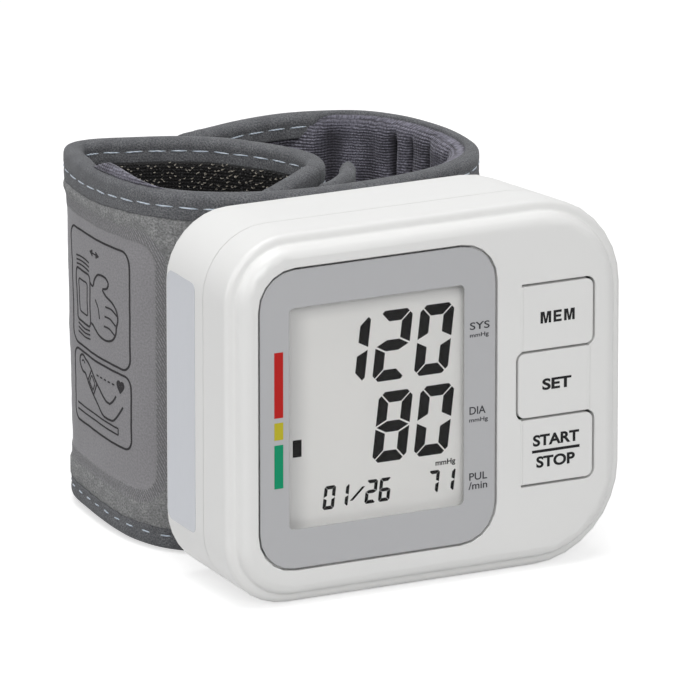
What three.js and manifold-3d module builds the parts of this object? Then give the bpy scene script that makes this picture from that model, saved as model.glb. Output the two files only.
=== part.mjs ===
// Wrist blood pressure monitor: a housing with a display and three buttons on a wrap-round wrist cuff.
// Millimetres. +X is right seen from the front, +Y runs from the front to the back, +Z is up.
// While building, Y = 0 is the raised front face and Z = 0 is the surface that the monitor stands on.

import * as THREE from 'three';
import { mergeVertices } from 'three/addons/utils/BufferGeometryUtils.js';
import Module from 'manifold-3d';

const wasm = await Module();
wasm.setup();

// Walls and gaps
const WALL = 2;
const CLEARANCE = 0.3;
const CUT_MARGIN = 1;

// Display, with the margins of the housing's face around its lens
const LENS_WIDTH = 46.2;
const LENS_HEIGHT = 54;
const LENS_RADIUS = 6.8;
const LENS_LEFT = 5.55;
const LENS_BELOW = 6.85;
const LENS_ABOVE = 5.95;
const LENS_THICKNESS = 1;
const LENS_RECESS = 0.12;
const LENS_GAP = 0.4;
const WINDOW_SIDE = 5.1;
const WINDOW_END = 6.25;
const WINDOW_RADIUS = 2;
const LCD_SIDE = 3.1;
const LCD_END = 4;
const LCD_THICKNESS = 2.4;
const LCD_FRAME_WALL = 1.2;
const LCD_LEDGE = 2.6;
const LCD_LEDGE_THICKNESS = 1;
const ZEBRA_END = 3;
const ZEBRA_WIDTH = 2;
const ZEBRA_HEIGHT = 3.9;

// Buttons: three flaps, each free on three sides and carried by a thin web on the fourth
const BUTTON_SPACE = 4.3;
const BUTTON_WIDTH = 15.28;
const BUTTON_MARGIN = 6.67;
const BUTTON_RISE = 0.58;
const BUTTON_PITCH = 12.2;
const BUTTON_COUNT = 3;
const BUTTON_WEB = 1;
const BUTTON_THICKNESS = 1.5;
const BUTTON_GROOVE = 0.45;
const BUTTON_CORNER = 1.3;
const WEB_GAP = 0.12;
const WEB_CORNER = 0.05;
const SWITCH_SIZE = 6;
const SWITCH_HEIGHT = 3.4;
const SWITCH_INSET = 2.88;
const PLUNGER_RADIUS = 1.6;
const PLUNGER_PROUD = 1.2;
const PLUNGER_DEPTH = 1.1;
const PLUNGER_TRAVEL = 0.6;
const RIB_RADIUS = 1.2;

// Main board
const BOARD_THICKNESS = 1.2;
const BOARD_INSET = 3;

// Battery bay: two AAA cells, one behind the other from the door
const CELL_RADIUS = 5.2;
const CELL_LENGTH = 44.5;
const CELL_SHOULDER = 0.6;
const CELL_NUB_RADIUS = 1.9;
const CELL_NUB_HEIGHT = 1;
const CELL_SPACE = 0.8;
const CELL_SEAT = 2;
const BAY_WALL = 1.2;
const BAY_MARGIN = 7.9;
const SPRING_LENGTH = 3.2;
const SPRING_RADIUS = 2.6;
const SPRING_TAPER = 0.9;
const SPRING_WIRE = 0.4;
const SPRING_TURNS = 2;
const CONTACT_THICKNESS = 0.5;
const CONTACT_MARGIN = 1.9;
const DOOR_SPACE = 1.8;
const DOOR_END = 2.1;
const DOOR_FRAME = 0.9;
const DOOR_GRIPS = 4;
const DOOR_GRIP_DROP = 8.7;
const DOOR_GRIP_PITCH = 2;
const DOOR_GRIP_WIDTH = 0.9;
const DOOR_GRIP_DEPTH = 0.5;

// Air system behind the board
const NOZZLE_RADIUS = 1.2;
const NOZZLE_LENGTH = 3;
const NOZZLE_ROOT = 0.5;
const NOZZLE_SPACE = 2.6;
const TUBE_BORE = 1.65;
const TUBE_RADIUS = 2.5;
const TUBE_BEND = 3.5;
const MOTOR_RADIUS = 6.5;
const MOTOR_LENGTH = 15.5;
const MOTOR_SPACE = 1.4;
const MOTOR_SEAT = 1.2;
const PUMP_SIDE = 2.1;
const PUMP_RISE = 1.4;
const PUMP_HEAD_WIDTH = 13.6;
const PUMP_HEAD_DEPTH = 13.2;
const PUMP_HEAD_HEIGHT = 11;
const VALVE_SPACE = 3.7;
const VALVE_RISE = 2.4;
const VALVE_GAP = 0.6;
const VALVE_RADIUS = 4.5;
const VALVE_LENGTH = 15;
const MANIFOLD_SIZE = 6;
const SENSOR_WIDTH = 9;
const SENSOR_DEPTH = 7.6;
const SENSOR_HEIGHT = 4.6;
const BUZZER_RADIUS = 6.5;
const BUZZER_HEIGHT = 3.5;
const BUZZER_SPACE = 1.5;
const PORT_BELOW = 5.7;
const PORT_RADIUS = 2;
const PORT_FLANGE_RADIUS = 3.2;
const PORT_FLANGE = 1.6;
const SEAL_THICKNESS = 0.5;

// Case screws and their bosses
const SCREW_INSET = 5.5;
const SCREW_SIDE = 10.5;
const SCREW_BAY_SPACE = 3.3;
const SCREW_RADIUS = 1.1;
const SCREW_HEAD_RADIUS = 2.3;
const SCREW_HEAD_HEIGHT = 1.6;
const SCREW_BITE = 4;
const FRONT_BOSS_RADIUS = 2.3;
const REAR_BOSS_WALL = 1.5;
const SHOULDER_RISE = 4;
const SHOULDER_THICKNESS = 1.8;

// Housing form
const LEFT_RADIUS = 12;
const RIGHT_RADIUS = 17;
const LEFT_DRAFT = 1.1;
const RIGHT_DRAFT = 2;
const TOP_DRAFT = 1.1;
const REAR_FILLET = 0.7;
const PARTING_RISE = 1.4;
const PARTING_GAP = 0.12;
const LIP_INSET = 1.15;
const LIP_LENGTH = 1.2;

// Stepped front: a rim round a raised face
const EDGE_RADIUS = 1.9;
const COVE_RADIUS = 0.5;
const RIM_WIDTH = 0.5;
const RIM_FILLET = 1;

// Cuff layers, from the skin to the outside
const BINDING_WALL = 0.5;
const BINDING_HEIGHT = 5.8;
const BINDING_CHAMFER = 0.6;
const LAYER_GAP = 0.25;
const LINER_THICKNESS = 0.6;
const BLADDER_THICKNESS = 0.7;
const STIFFENER_THICKNESS = 0.5;
const BRACKET_THICKNESS = 0.9;
const SHELL_THICKNESS = 0.8;
const HOOK_THICKNESS = 0.8;
const BULGE = 0.65;
const BULGE_REACH = 7;

// Cuff plan, X and distance behind the housing: from the curled tail, round the left, along the housing's back
// and round the right to the free end
const CUFF_PLAN = [
  [-14, 9.6], [-7, 12], [0, 14.6], [5, 18.6], [6.3, 24.2], [4.2, 30.2], [0, 36.2], [-5.2, 42], [-12, 46.4],
  [-20.8, 50.2], [-26.5, 52], [-30.3, 51.3], [-32.4, 47.5], [-34, 37], [-34.2, 27], [-32.8, 18.8],
  [-29.4, 12.4], [-23.5, 7.6], [-15, 4], [-7, 2.7], [2, 2.6], [11, 3.6], [20.3, 6.4],
  [27, 10.6], [31.2, 16.2], [32.8, 23.5], [32.4, 32], [29.6, 40.8], [24.6, 46.8], [17.3, 50],
  [9.5, 51.4], [2, 51.6], [-5, 50.6], [-9.5, 49.4],
];
const TAIL_SPLIT = 16;
const WING_SPLIT = 23;
const SPLIT_GAP = 0.4;
const PLAN_SPACING = 7;
const CUFF_DROP = 0.8;
const HOOK_RANGE = [3.2, 10.2];
const LOBE_RANGE = [23.3, 29];
const STIFFENER_RANGE = [23.3, 31.5];
const BRACKET_RANGE = [18.6, 20.95];
const PIN_SPACE = 0.4;
const PIN_END = 2.7;
const PIN_RADIUS = 1.6;
const PIN_REACH = 1.4;
const TAB_PLAN = [[-1, 5.9], [3, 8.8], [6.6, 13.2], [8.9, 18]];
const TAB_HALF = 1;
const TAB_RISE = 4;
const TAB_DROP = 1;

// Sizes worked out from what the housing holds
const LCD_WIDTH = LENS_WIDTH - 2 * LCD_SIDE;
const LCD_HEIGHT = LENS_HEIGHT - 2 * LCD_END;
const LCD_FRONT = WALL + CLEARANCE;
const LCD_BACK = LCD_FRONT + LCD_THICKNESS;
const BOARD_FRONT = LCD_BACK + CLEARANCE + ZEBRA_HEIGHT + CLEARANCE;
const BOARD_BACK = BOARD_FRONT + BOARD_THICKNESS;
const BAY_LENGTH = CELL_LENGTH + SPRING_LENGTH + 2 * (CONTACT_THICKNESS + 2 * CLEARANCE);
const WIDTH = LENS_LEFT + LENS_WIDTH + BUTTON_SPACE + BUTTON_WIDTH + BUTTON_MARGIN;
const HEIGHT = Math.max(LENS_BELOW + LENS_HEIGHT + LENS_ABOVE, BAY_LENGTH + TOP_DRAFT + 2 * BAY_MARGIN);
const REAR_INNER = BOARD_BACK + MOTOR_SPACE + 2 * MOTOR_RADIUS + MOTOR_SEAT;
const DEPTH = REAR_INNER + WALL;
const PARTING_DEPTH = BOARD_BACK + PARTING_RISE;
const PARTING_BACK = PARTING_DEPTH + PARTING_GAP;
const LENS_POCKET = LENS_RECESS + LENS_THICKNESS + LENS_RECESS;
const LENS_X = LENS_LEFT + LENS_WIDTH / 2 - WIDTH / 2;
const LENS_Z = LENS_BELOW + LENS_HEIGHT / 2;

// Places of the buttons
const BUTTON_RIGHT = WIDTH / 2 - BUTTON_MARGIN;
const BUTTON_LEFT = BUTTON_RIGHT - BUTTON_WIDTH;
const BUTTON_BOTTOM = (HEIGHT - BUTTON_COUNT * BUTTON_PITCH) / 2 + BUTTON_RISE;
const SWITCH_REACH = BUTTON_WIDTH - BUTTON_WEB - SWITCH_INSET;

// Places in the battery bay, from the right wall and the middle of the height
const CELL_PITCH = 2 * CELL_RADIUS + CELL_SPACE;
const OUTER_X = WIDTH / 2 - RIGHT_DRAFT - WALL - DOOR_SPACE - CELL_RADIUS;
const CELL_X = OUTER_X - CELL_PITCH;
const CELL_Y = REAR_INNER - CELL_SEAT - CELL_RADIUS;
const CONTACT_WIDTH = 2 * (CELL_RADIUS - CONTACT_MARGIN);
const BAY_LEFT = CELL_X - CELL_RADIUS - 2 * CLEARANCE - BAY_WALL;
const BAY_BOTTOM = (HEIGHT - TOP_DRAFT - BAY_LENGTH) / 2;
const BAY_TOP = BAY_BOTTOM + BAY_LENGTH;
const CONTACT_LOW = BAY_BOTTOM + CLEARANCE;
const CONTACT_HIGH = BAY_TOP - CLEARANCE - CONTACT_THICKNESS;
const INNER_BOTTOM = CONTACT_LOW + CONTACT_THICKNESS + CLEARANCE;
const OUTER_BOTTOM = CONTACT_HIGH - CLEARANCE - CELL_LENGTH;
const REBATE_END = PARTING_BACK + LIP_LENGTH + CLEARANCE;
const DOOR_FRONT = REBATE_END + CLEARANCE + DOOR_FRAME;
const DOOR_BACK = REAR_INNER - DOOR_FRAME;
const DOOR_BOTTOM = BAY_BOTTOM + DOOR_END;
const DOOR_TOP = BAY_TOP - DOOR_END;

// Thickness of the cuff's three stretches, as half of what lies between their faces
const EDGE_COVER = LAYER_GAP + BINDING_WALL;
const CLOTH = LINER_THICKNESS + SHELL_THICKNESS;
const TAIL_HALF = (CLOTH + LAYER_GAP) / 2 + EDGE_COVER;
const CENTER_HALF = (CLOTH + BLADDER_THICKNESS + BRACKET_THICKNESS + 3 * LAYER_GAP) / 2 - BULGE + EDGE_COVER;
const WING_HALF = (CLOTH + BLADDER_THICKNESS + STIFFENER_THICKNESS + 3 * LAYER_GAP) / 2 - BULGE + EDGE_COVER;
const CUFF_HEIGHT = HEIGHT - CUFF_DROP;
const PAD_MARGIN = BINDING_HEIGHT + BULGE_REACH + 2 * LAYER_GAP;
const PIN_X = BAY_LEFT - PIN_SPACE - PIN_RADIUS;
const PIN_Z = [PAD_MARGIN + PIN_END, CUFF_HEIGHT - PAD_MARGIN - PIN_END];

// Places of the air parts: the pump from the left wall, the rest beside it, the port behind the cuff's pad
const SCREW_BOSS_RADIUS = SCREW_HEAD_RADIUS + CLEARANCE + REAR_BOSS_WALL;
const SCREW_X = [SCREW_SIDE - WIDTH / 2, BAY_LEFT - SCREW_BAY_SPACE];
const SCREW_Z = [SCREW_INSET, HEIGHT - SCREW_INSET];
const SHOULDER_DEPTH = BOARD_BACK + SHOULDER_RISE;
const AIR_Y = BOARD_BACK + VALVE_GAP + VALVE_RADIUS;
const PUMP_X = LEFT_DRAFT + WALL + PUMP_SIDE + PUMP_HEAD_WIDTH / 2 - WIDTH / 2;
const PUMP_BOTTOM = SCREW_INSET + SCREW_BOSS_RADIUS + PUMP_RISE;
const PUMP_HEAD_BOTTOM = PUMP_BOTTOM + MOTOR_LENGTH + CLEARANCE;
const PUMP_HEAD_TOP = PUMP_HEAD_BOTTOM + PUMP_HEAD_HEIGHT;
const MOTOR_Y = REAR_INNER - MOTOR_SEAT - MOTOR_RADIUS;
const VALVE_X = PUMP_X + PUMP_HEAD_WIDTH / 2 + VALVE_SPACE + VALVE_RADIUS;
const VALVE_BOTTOM = SCREW_INSET + SCREW_BOSS_RADIUS + VALVE_RISE;
const MANIFOLD_Z = CUFF_HEIGHT - PAD_MARGIN - PORT_BELOW;
const SENSOR_BOTTOM = MANIFOLD_Z + MANIFOLD_SIZE / 2 + 2 * NOZZLE_LENGTH + NOZZLE_SPACE;
const BUZZER_X = (VALVE_X + TUBE_RADIUS + BAY_LEFT) / 2;
const BUZZER_Z = MANIFOLD_Z - TUBE_RADIUS - BUZZER_SPACE - BUZZER_RADIUS;
const PORT_X = (VALVE_X + MANIFOLD_SIZE / 2 + BAY_LEFT) / 2;
const PORT_BARB_END = REAR_INNER - SEAL_THICKNESS - 2 * CLEARANCE - PORT_FLANGE;

// Fineness of round shapes
const ROUND_STEPS = 14;
const HOUSING_STEPS = 8;
const CORNER_STEPS = 5;
const ARC_STEPS = 3;
const TUBE_SIDES = 6;
const TUBE_STEPS = 8;
const WIRE_SIDES = 4;
const COIL_STEPS = 7;
const STATIONS_PER_POINT = 2;
const SEARCH_STATIONS = 20;
const TAB_STEPS = 8;

// Finishes
function finish(color, roughness, metalness = 0) {
  return new THREE.MeshStandardMaterial({ color, roughness, metalness });
}

const WHITE_PLASTIC = finish(0xe9e9e7, 0.3);
const LENS_PLASTIC = finish(0xa9aaad, 0.25);
const LCD_GLASS = finish(0xcdcdca, 0.35);
const DARK_PLASTIC = finish(0x2b2c2e, 0.5);
const GREEN_BOARD = finish(0x1f5a36, 0.5);
const RUBBER = finish(0x3a3a3c, 0.85);
const SILICONE = finish(0xd8d6cc, 0.5);
const STEEL = finish(0xb4b6b8, 0.3, 1);
const CELL_WRAP = finish(0x6f7275, 0.35, 0.4);
const LOOP_FABRIC = finish(0x828386, 0.95);
const KNIT_FABRIC = finish(0x56545f, 0.95);
const BINDING_FABRIC = finish(0x66686b, 0.95);
const HOOK_FABRIC = finish(0x17161a, 0.9);
const BLADDER_FILM = finish(0x9a9a96, 0.6);

// Solids and meshes
function signedVolume(geometry) {
  const position = geometry.getAttribute('position');
  const index = geometry.getIndex();
  const corners = [new THREE.Vector3(), new THREE.Vector3(), new THREE.Vector3()];
  let volume = 0;
  for (let i = 0; i < index.count; i += 3) {
    corners.forEach((corner, k) => corner.fromBufferAttribute(position, index.getX(i + k)));
    volume += corners[0].dot(corners[1].cross(corners[2])) / 6;
  }
  return volume;
}

function welded(geometry) {
  const copy = geometry.clone();
  copy.deleteAttribute('normal');
  copy.deleteAttribute('uv');
  const merged = mergeVertices(copy, 1e-4);
  if (signedVolume(merged) < 0) {
    merged.getIndex().array.reverse();
  }
  return merged;
}

function solid(geometry) {
  const merged = welded(geometry);
  const vertProperties = new Float32Array(merged.getAttribute('position').array);
  const triVerts = new Uint32Array(merged.getIndex().array);
  return new wasm.Manifold(new wasm.Mesh({ numProp: 3, vertProperties, triVerts }));
}

function geometryOf(manifold) {
  const mesh = manifold.getMesh();
  const geometry = new THREE.BufferGeometry();
  geometry.setAttribute('position', new THREE.BufferAttribute(new Float32Array(mesh.vertProperties), 3));
  geometry.setIndex(new THREE.BufferAttribute(new Uint32Array(mesh.triVerts), 1));
  return geometry;
}

function unite(first, ...others) {
  return others.reduce((sum, other) => sum.add(other), first);
}

function cut(first, ...others) {
  return others.reduce((rest, other) => rest.subtract(other), first);
}

// Triangulated caps and side walls through a row of closed outlines with equal point counts
function loft(rings) {
  const count = rings[0].length;
  const positions = rings.flat().flatMap((point) => [point.x, point.y, point.z]);
  const index = [];
  for (let ring = 0; ring + 1 < rings.length; ring += 1) {
    for (let i = 0; i < count; i += 1) {
      const next = (i + 1) % count;
      const a = ring * count + i;
      const b = ring * count + next;
      index.push(a, b, a + count, b, b + count, a + count);
    }
  }
  return { positions, index, count };
}

function closedLoft(rings, capOutline) {
  const { positions, index, count } = loft(rings);
  const last = (rings.length - 1) * count;
  const turnedOver = THREE.ShapeUtils.isClockWise(capOutline);
  for (const triangle of THREE.ShapeUtils.triangulateShape(capOutline, [])) {
    const [a, b, c] = turnedOver ? triangle.toReversed() : triangle;
    index.push(a, c, b);
    index.push(last + a, last + b, last + c);
  }
  const geometry = new THREE.BufferGeometry();
  geometry.setAttribute('position', new THREE.Float32BufferAttribute(positions, 3));
  geometry.setIndex(index);
  return geometry;
}

function box(x0, x1, y0, y1, z0, z1) {
  const geometry = new THREE.BoxGeometry(x1 - x0, y1 - y0, z1 - z0);
  return geometry.translate((x0 + x1) / 2, (y0 + y1) / 2, (z0 + z1) / 2);
}

// A turned piece: profile points are [radius, distance along the axis], starting and ending on the axis
function turned(profile, axis, x, y, z) {
  const points = profile.map(([radius, along]) => new THREE.Vector2(radius, along));
  const geometry = new THREE.LatheGeometry(points, ROUND_STEPS);
  if (axis === 'z') {
    geometry.rotateX(Math.PI / 2);
  }
  if (axis === 'x') {
    geometry.rotateZ(-Math.PI / 2);
  }
  return geometry.translate(x, y, z);
}

function rod(radius, length, axis, x, y, z) {
  return turned([[0, 0], [radius, 0], [radius, length], [0, length]], axis, x, y, z);
}

function ringProfile(inner, outer, start, end) {
  return [[inner, start], [outer, start], [outer, end], [inner, end], [inner, start]];
}

// Rounded rectangle seen from the front, as points from the top right corner round to the bottom right
function roundedOutline(x0, x1, z0, z1, leftRadius, rightRadius, steps = CORNER_STEPS) {
  const corners = [
    [x1 - rightRadius, z1 - rightRadius, rightRadius, 0],
    [x0 + leftRadius, z1 - leftRadius, leftRadius, 1],
    [x0 + leftRadius, z0 + leftRadius, leftRadius, 2],
    [x1 - rightRadius, z0 + rightRadius, rightRadius, 3],
  ];
  return corners.flatMap(([cx, cz, radius, quarter]) => Array.from({ length: steps + 1 }, (_, i) => {
    const angle = (Math.PI / 2) * (quarter + i / steps);
    return new THREE.Vector2(cx + radius * Math.cos(angle), cz + radius * Math.sin(angle));
  }));
}

function plate(x0, x1, z0, z1, radius, y0, y1) {
  const outline = roundedOutline(x0, x1, z0, z1, radius, radius);
  const rings = [y0, y1].map((y) => outline.map((point) => new THREE.Vector3(point.x, y, point.y)));
  return closedLoft(rings, outline);
}

function centredPlate(x, z, width, height, radius, y0, y1) {
  return plate(x - width / 2, x + width / 2, z - height / 2, z + height / 2, radius, y0, y1);
}

// Housing outline at a depth, moved in from the outer wall by an inset
const STEP_DEPTH = EDGE_RADIUS + COVE_RADIUS;
const RIM_DEPTH = STEP_DEPTH + RIM_FILLET;
const FACE_INSET = RIM_FILLET + RIM_WIDTH + COVE_RADIUS + EDGE_RADIUS;

function leanAt(depth) {
  return Math.max(0, (depth - RIM_DEPTH) / (DEPTH - RIM_DEPTH));
}

function housingOutline(depth, inset) {
  const lean = leanAt(depth);
  return roundedOutline(
    -WIDTH / 2 + inset + LEFT_DRAFT * lean,
    WIDTH / 2 - inset - RIGHT_DRAFT * lean,
    inset,
    HEIGHT - inset - TOP_DRAFT * lean,
    LEFT_RADIUS - inset,
    RIGHT_RADIUS - inset,
    HOUSING_STEPS,
  );
}

function housingLoft(profile) {
  const rings = profile.map(([depth, inset]) => (
    housingOutline(depth, inset).map((point) => new THREE.Vector3(point.x, depth, point.y))
  ));
  return closedLoft(rings, housingOutline(...profile[0]));
}

// Depth and inset pairs from the raised face, over its rounded edge and the cove, to the outer wall
function frontProfile() {
  const profile = [];
  for (let i = 0; i <= ARC_STEPS; i += 1) {
    const angle = (Math.PI / 2) * (i / ARC_STEPS);
    profile.push([EDGE_RADIUS * (1 - Math.cos(angle)), FACE_INSET - EDGE_RADIUS * Math.sin(angle)]);
  }
  const coveInset = FACE_INSET - EDGE_RADIUS;
  for (let i = 1; i <= ARC_STEPS; i += 1) {
    const angle = (Math.PI / 2) * (i / ARC_STEPS);
    const inset = coveInset - COVE_RADIUS * (1 - Math.cos(angle));
    profile.push([EDGE_RADIUS + COVE_RADIUS * Math.sin(angle), inset]);
  }
  for (let i = 0; i <= ARC_STEPS; i += 1) {
    const angle = (Math.PI / 2) * (i / ARC_STEPS);
    profile.push([STEP_DEPTH + RIM_FILLET * (1 - Math.cos(angle)), RIM_FILLET * (1 - Math.sin(angle))]);
  }
  return profile;
}

function rearFillet() {
  return Array.from({ length: ARC_STEPS + 1 }, (_, i) => {
    const angle = (Math.PI / 2) * (i / ARC_STEPS);
    return [DEPTH - REAR_FILLET * (1 - Math.sin(angle)), REAR_FILLET * (1 - Math.cos(angle))];
  });
}

const screwPlaces = SCREW_X.flatMap((x) => SCREW_Z.map((z) => [x, z]));

// Buttons from the top down; the middle one hangs from the right, the others from the left
const buttons = [
  { name: 'mem', row: 2, hangsLeft: true },
  { name: 'set', row: 1, hangsLeft: false },
  { name: 'start_stop', row: 0, hangsLeft: true },
].map((button) => {
  const bottom = BUTTON_BOTTOM + button.row * BUTTON_PITCH;
  const left = button.hangsLeft ? BUTTON_LEFT + BUTTON_WEB : BUTTON_LEFT + BUTTON_GROOVE / 2;
  const right = button.hangsLeft ? BUTTON_RIGHT - BUTTON_GROOVE / 2 : BUTTON_RIGHT - BUTTON_WEB;
  const hinge = button.hangsLeft ? left : right;
  return {
    ...button,
    left,
    right,
    bottom: bottom + BUTTON_GROOVE / 2,
    top: bottom + BUTTON_PITCH - BUTTON_GROOVE / 2,
    switchX: hinge + (button.hangsLeft ? SWITCH_REACH : -SWITCH_REACH),
    switchZ: bottom + BUTTON_PITCH / 2,
  };
});

function flapOutline(button, freeGrow, webGrow) {
  const left = button.left - (button.hangsLeft ? webGrow : freeGrow);
  const right = button.right + (button.hangsLeft ? freeGrow : webGrow);
  const freeCorner = BUTTON_CORNER + freeGrow;
  return roundedOutline(
    left,
    right,
    button.bottom - freeGrow,
    button.top + freeGrow,
    button.hangsLeft ? WEB_CORNER : freeCorner,
    button.hangsLeft ? freeCorner : WEB_CORNER,
  );
}

function flap(button, freeGrow, webGrow, y0, y1) {
  const outline = flapOutline(button, freeGrow, webGrow);
  const rings = [y0, y1].map((y) => outline.map((point) => new THREE.Vector3(point.x, y, point.y)));
  return closedLoft(rings, outline);
}

// Front cover
function frontCover() {
  const outer = solid(housingLoft([...frontProfile(), [PARTING_DEPTH, 0]]));
  const deepFace = STEP_DEPTH + WALL;
  const inner = solid(housingLoft([
    [WALL, FACE_INSET],
    [deepFace, FACE_INSET],
    [deepFace + WALL, WALL],
    [PARTING_DEPTH + WALL, WALL],
  ]));
  const lipEnd = PARTING_BACK + LIP_LENGTH;
  const lipRoot = PARTING_DEPTH - WALL;
  const lipOuter = solid(housingLoft([[lipRoot, LIP_INSET], [lipEnd, LIP_INSET]]));
  const lipInner = solid(housingLoft([[lipRoot - CUT_MARGIN, WALL], [lipEnd + CUT_MARGIN, WALL]]));
  const bossEnd = BOARD_FRONT - CLEARANCE;
  const bossStart = (LENS_POCKET + WALL) / 2;
  const bosses = screwPlaces.map(([x, z]) => (
    solid(rod(FRONT_BOSS_RADIUS, bossEnd - bossStart, 'y', x, bossStart, z))
  ));
  const pilots = screwPlaces.map(([x, z]) => {
    const depth = SCREW_BITE + CLEARANCE;
    return solid(rod(SCREW_RADIUS + CLEARANCE, depth + CUT_MARGIN, 'y', x, bossEnd - depth, z));
  });
  const pocket = solid(centredPlate(
    LENS_X, LENS_Z, LENS_WIDTH + 2 * LENS_GAP, LENS_HEIGHT + 2 * LENS_GAP, LENS_RADIUS + LENS_GAP,
    -CUT_MARGIN, LENS_POCKET,
  ));
  const window = solid(centredPlate(
    LENS_X, LENS_Z, LENS_WIDTH - 2 * WINDOW_SIDE, LENS_HEIGHT - 2 * WINDOW_END, WINDOW_RADIUS,
    -CUT_MARGIN, WALL + CUT_MARGIN,
  ));
  const openings = buttons.map((button) => (
    solid(flap(button, BUTTON_GROOVE, WEB_GAP, -CUT_MARGIN, WALL + CUT_MARGIN))
  ));
  const shell = unite(cut(outer, inner), cut(lipOuter, lipInner), ...bosses);
  return cut(shell, ...pilots, pocket, window, ...openings);
}

// Rear cover with the battery bay, the screw bosses and the seats of the air parts
function rearSeat(x, halfWidth, z, surface) {
  const half = WALL / 2;
  return box(x - halfWidth, x + halfWidth, surface + CLEARANCE, REAR_INNER + half, z - half, z + half);
}

function rearOuter() {
  return solid(housingLoft([[PARTING_BACK, 0], ...rearFillet()]));
}

function rearCover() {
  const outer = rearOuter();
  const inner = solid(housingLoft([[PARTING_BACK - CUT_MARGIN, WALL], [REAR_INNER, WALL]]));
  const rebate = solid(housingLoft([
    [PARTING_BACK - CUT_MARGIN, LIP_INSET - CLEARANCE],
    [REBATE_END, LIP_INSET - CLEARANCE],
  ]));
  const bossStart = BOARD_BACK + CLEARANCE;
  const bosses = screwPlaces.map(([x, z]) => (
    solid(rod(SCREW_BOSS_RADIUS, DEPTH - WALL / 2 - bossStart, 'y', x, bossStart, z))
  ));
  const bores = screwPlaces.flatMap(([x, z]) => [
    solid(rod(SCREW_RADIUS + CLEARANCE, DEPTH, 'y', x, bossStart - CUT_MARGIN, z)),
    solid(rod(SCREW_HEAD_RADIUS + CLEARANCE, DEPTH, 'y', x, SHOULDER_DEPTH + SHOULDER_THICKNESS, z)),
  ]);
  const bayFront = REBATE_END + CLEARANCE;
  const bayWalls = [
    box(BAY_LEFT, BAY_LEFT + BAY_WALL, bayFront, DEPTH - WALL / 2, BAY_BOTTOM - BAY_WALL, BAY_TOP + BAY_WALL),
    box(BAY_LEFT, WIDTH / 2, bayFront, DEPTH - WALL / 2, BAY_BOTTOM - BAY_WALL, BAY_BOTTOM),
    box(BAY_LEFT, WIDTH / 2, bayFront, DEPTH - WALL / 2, BAY_TOP, BAY_TOP + BAY_WALL),
  ].map(solid);
  const bayWidth = CELL_RADIUS + CELL_PITCH;
  const bayMiddle = (BAY_BOTTOM + BAY_TOP) / 2;
  const seats = [
    rearSeat(CELL_X + CELL_PITCH / 2, bayWidth / 2, bayMiddle - CELL_LENGTH / 4, CELL_Y + CELL_RADIUS),
    rearSeat(CELL_X + CELL_PITCH / 2, bayWidth / 2, bayMiddle + CELL_LENGTH / 4, CELL_Y + CELL_RADIUS),
    rearSeat(PUMP_X, MOTOR_RADIUS, PUMP_BOTTOM + MOTOR_LENGTH / 2, MOTOR_Y + MOTOR_RADIUS),
    rearSeat(PUMP_X, MOTOR_RADIUS, PUMP_HEAD_BOTTOM + PUMP_HEAD_HEIGHT / 2, MOTOR_Y + PUMP_HEAD_DEPTH / 2),
    rearSeat(VALVE_X, VALVE_RADIUS, VALVE_BOTTOM + VALVE_LENGTH / 2, AIR_Y + VALVE_RADIUS),
    rearSeat(VALVE_X, MANIFOLD_SIZE / 2, MANIFOLD_Z, AIR_Y + MANIFOLD_SIZE / 2),
  ].map(solid);
  const pinHoles = PIN_Z.flatMap((z) => [-PIN_X, PIN_X].map((x) => (
    solid(rod(PIN_RADIUS + CLEARANCE, 2 * WALL, 'y', x, REAR_INNER - CUT_MARGIN, z))
  )));
  const portMouth = solid(rod(
    PORT_RADIUS + CLEARANCE, 2 * WALL, 'y', PORT_X, REAR_INNER - CUT_MARGIN, MANIFOLD_Z,
  ));
  const fittings = unite(...bosses, ...bayWalls, ...seats).intersect(outer);
  const shell = unite(cut(outer, inner), fittings);
  return cut(shell, rebate, ...bores, ...pinHoles, portMouth, solid(doorBlock(CLEARANCE)));
}

// Battery door: the piece of the right wall that closes the bay, with grip grooves
function doorBlock(grow) {
  return box(OUTER_X, WIDTH, DOOR_FRONT - grow, DOOR_BACK + grow, DOOR_BOTTOM - grow, DOOR_TOP + grow);
}

function batteryDoor() {
  const inner = solid(housingLoft([[PARTING_BACK - CUT_MARGIN, WALL], [DEPTH + CUT_MARGIN, WALL]]));
  const wall = cut(rearOuter(), inner).intersect(solid(doorBlock(0)));
  const wallX = WIDTH / 2 - RIGHT_DRAFT * leanAt((DOOR_FRONT + DOOR_BACK) / 2);
  const grips = Array.from({ length: DOOR_GRIPS }, (_, i) => {
    const z = DOOR_TOP - DOOR_GRIP_DROP - i * DOOR_GRIP_PITCH;
    return solid(box(
      wallX - DOOR_GRIP_DEPTH, WIDTH, DOOR_FRONT + WALL, DOOR_BACK - WALL, z - DOOR_GRIP_WIDTH, z,
    ));
  });
  return cut(wall, ...grips);
}

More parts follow.
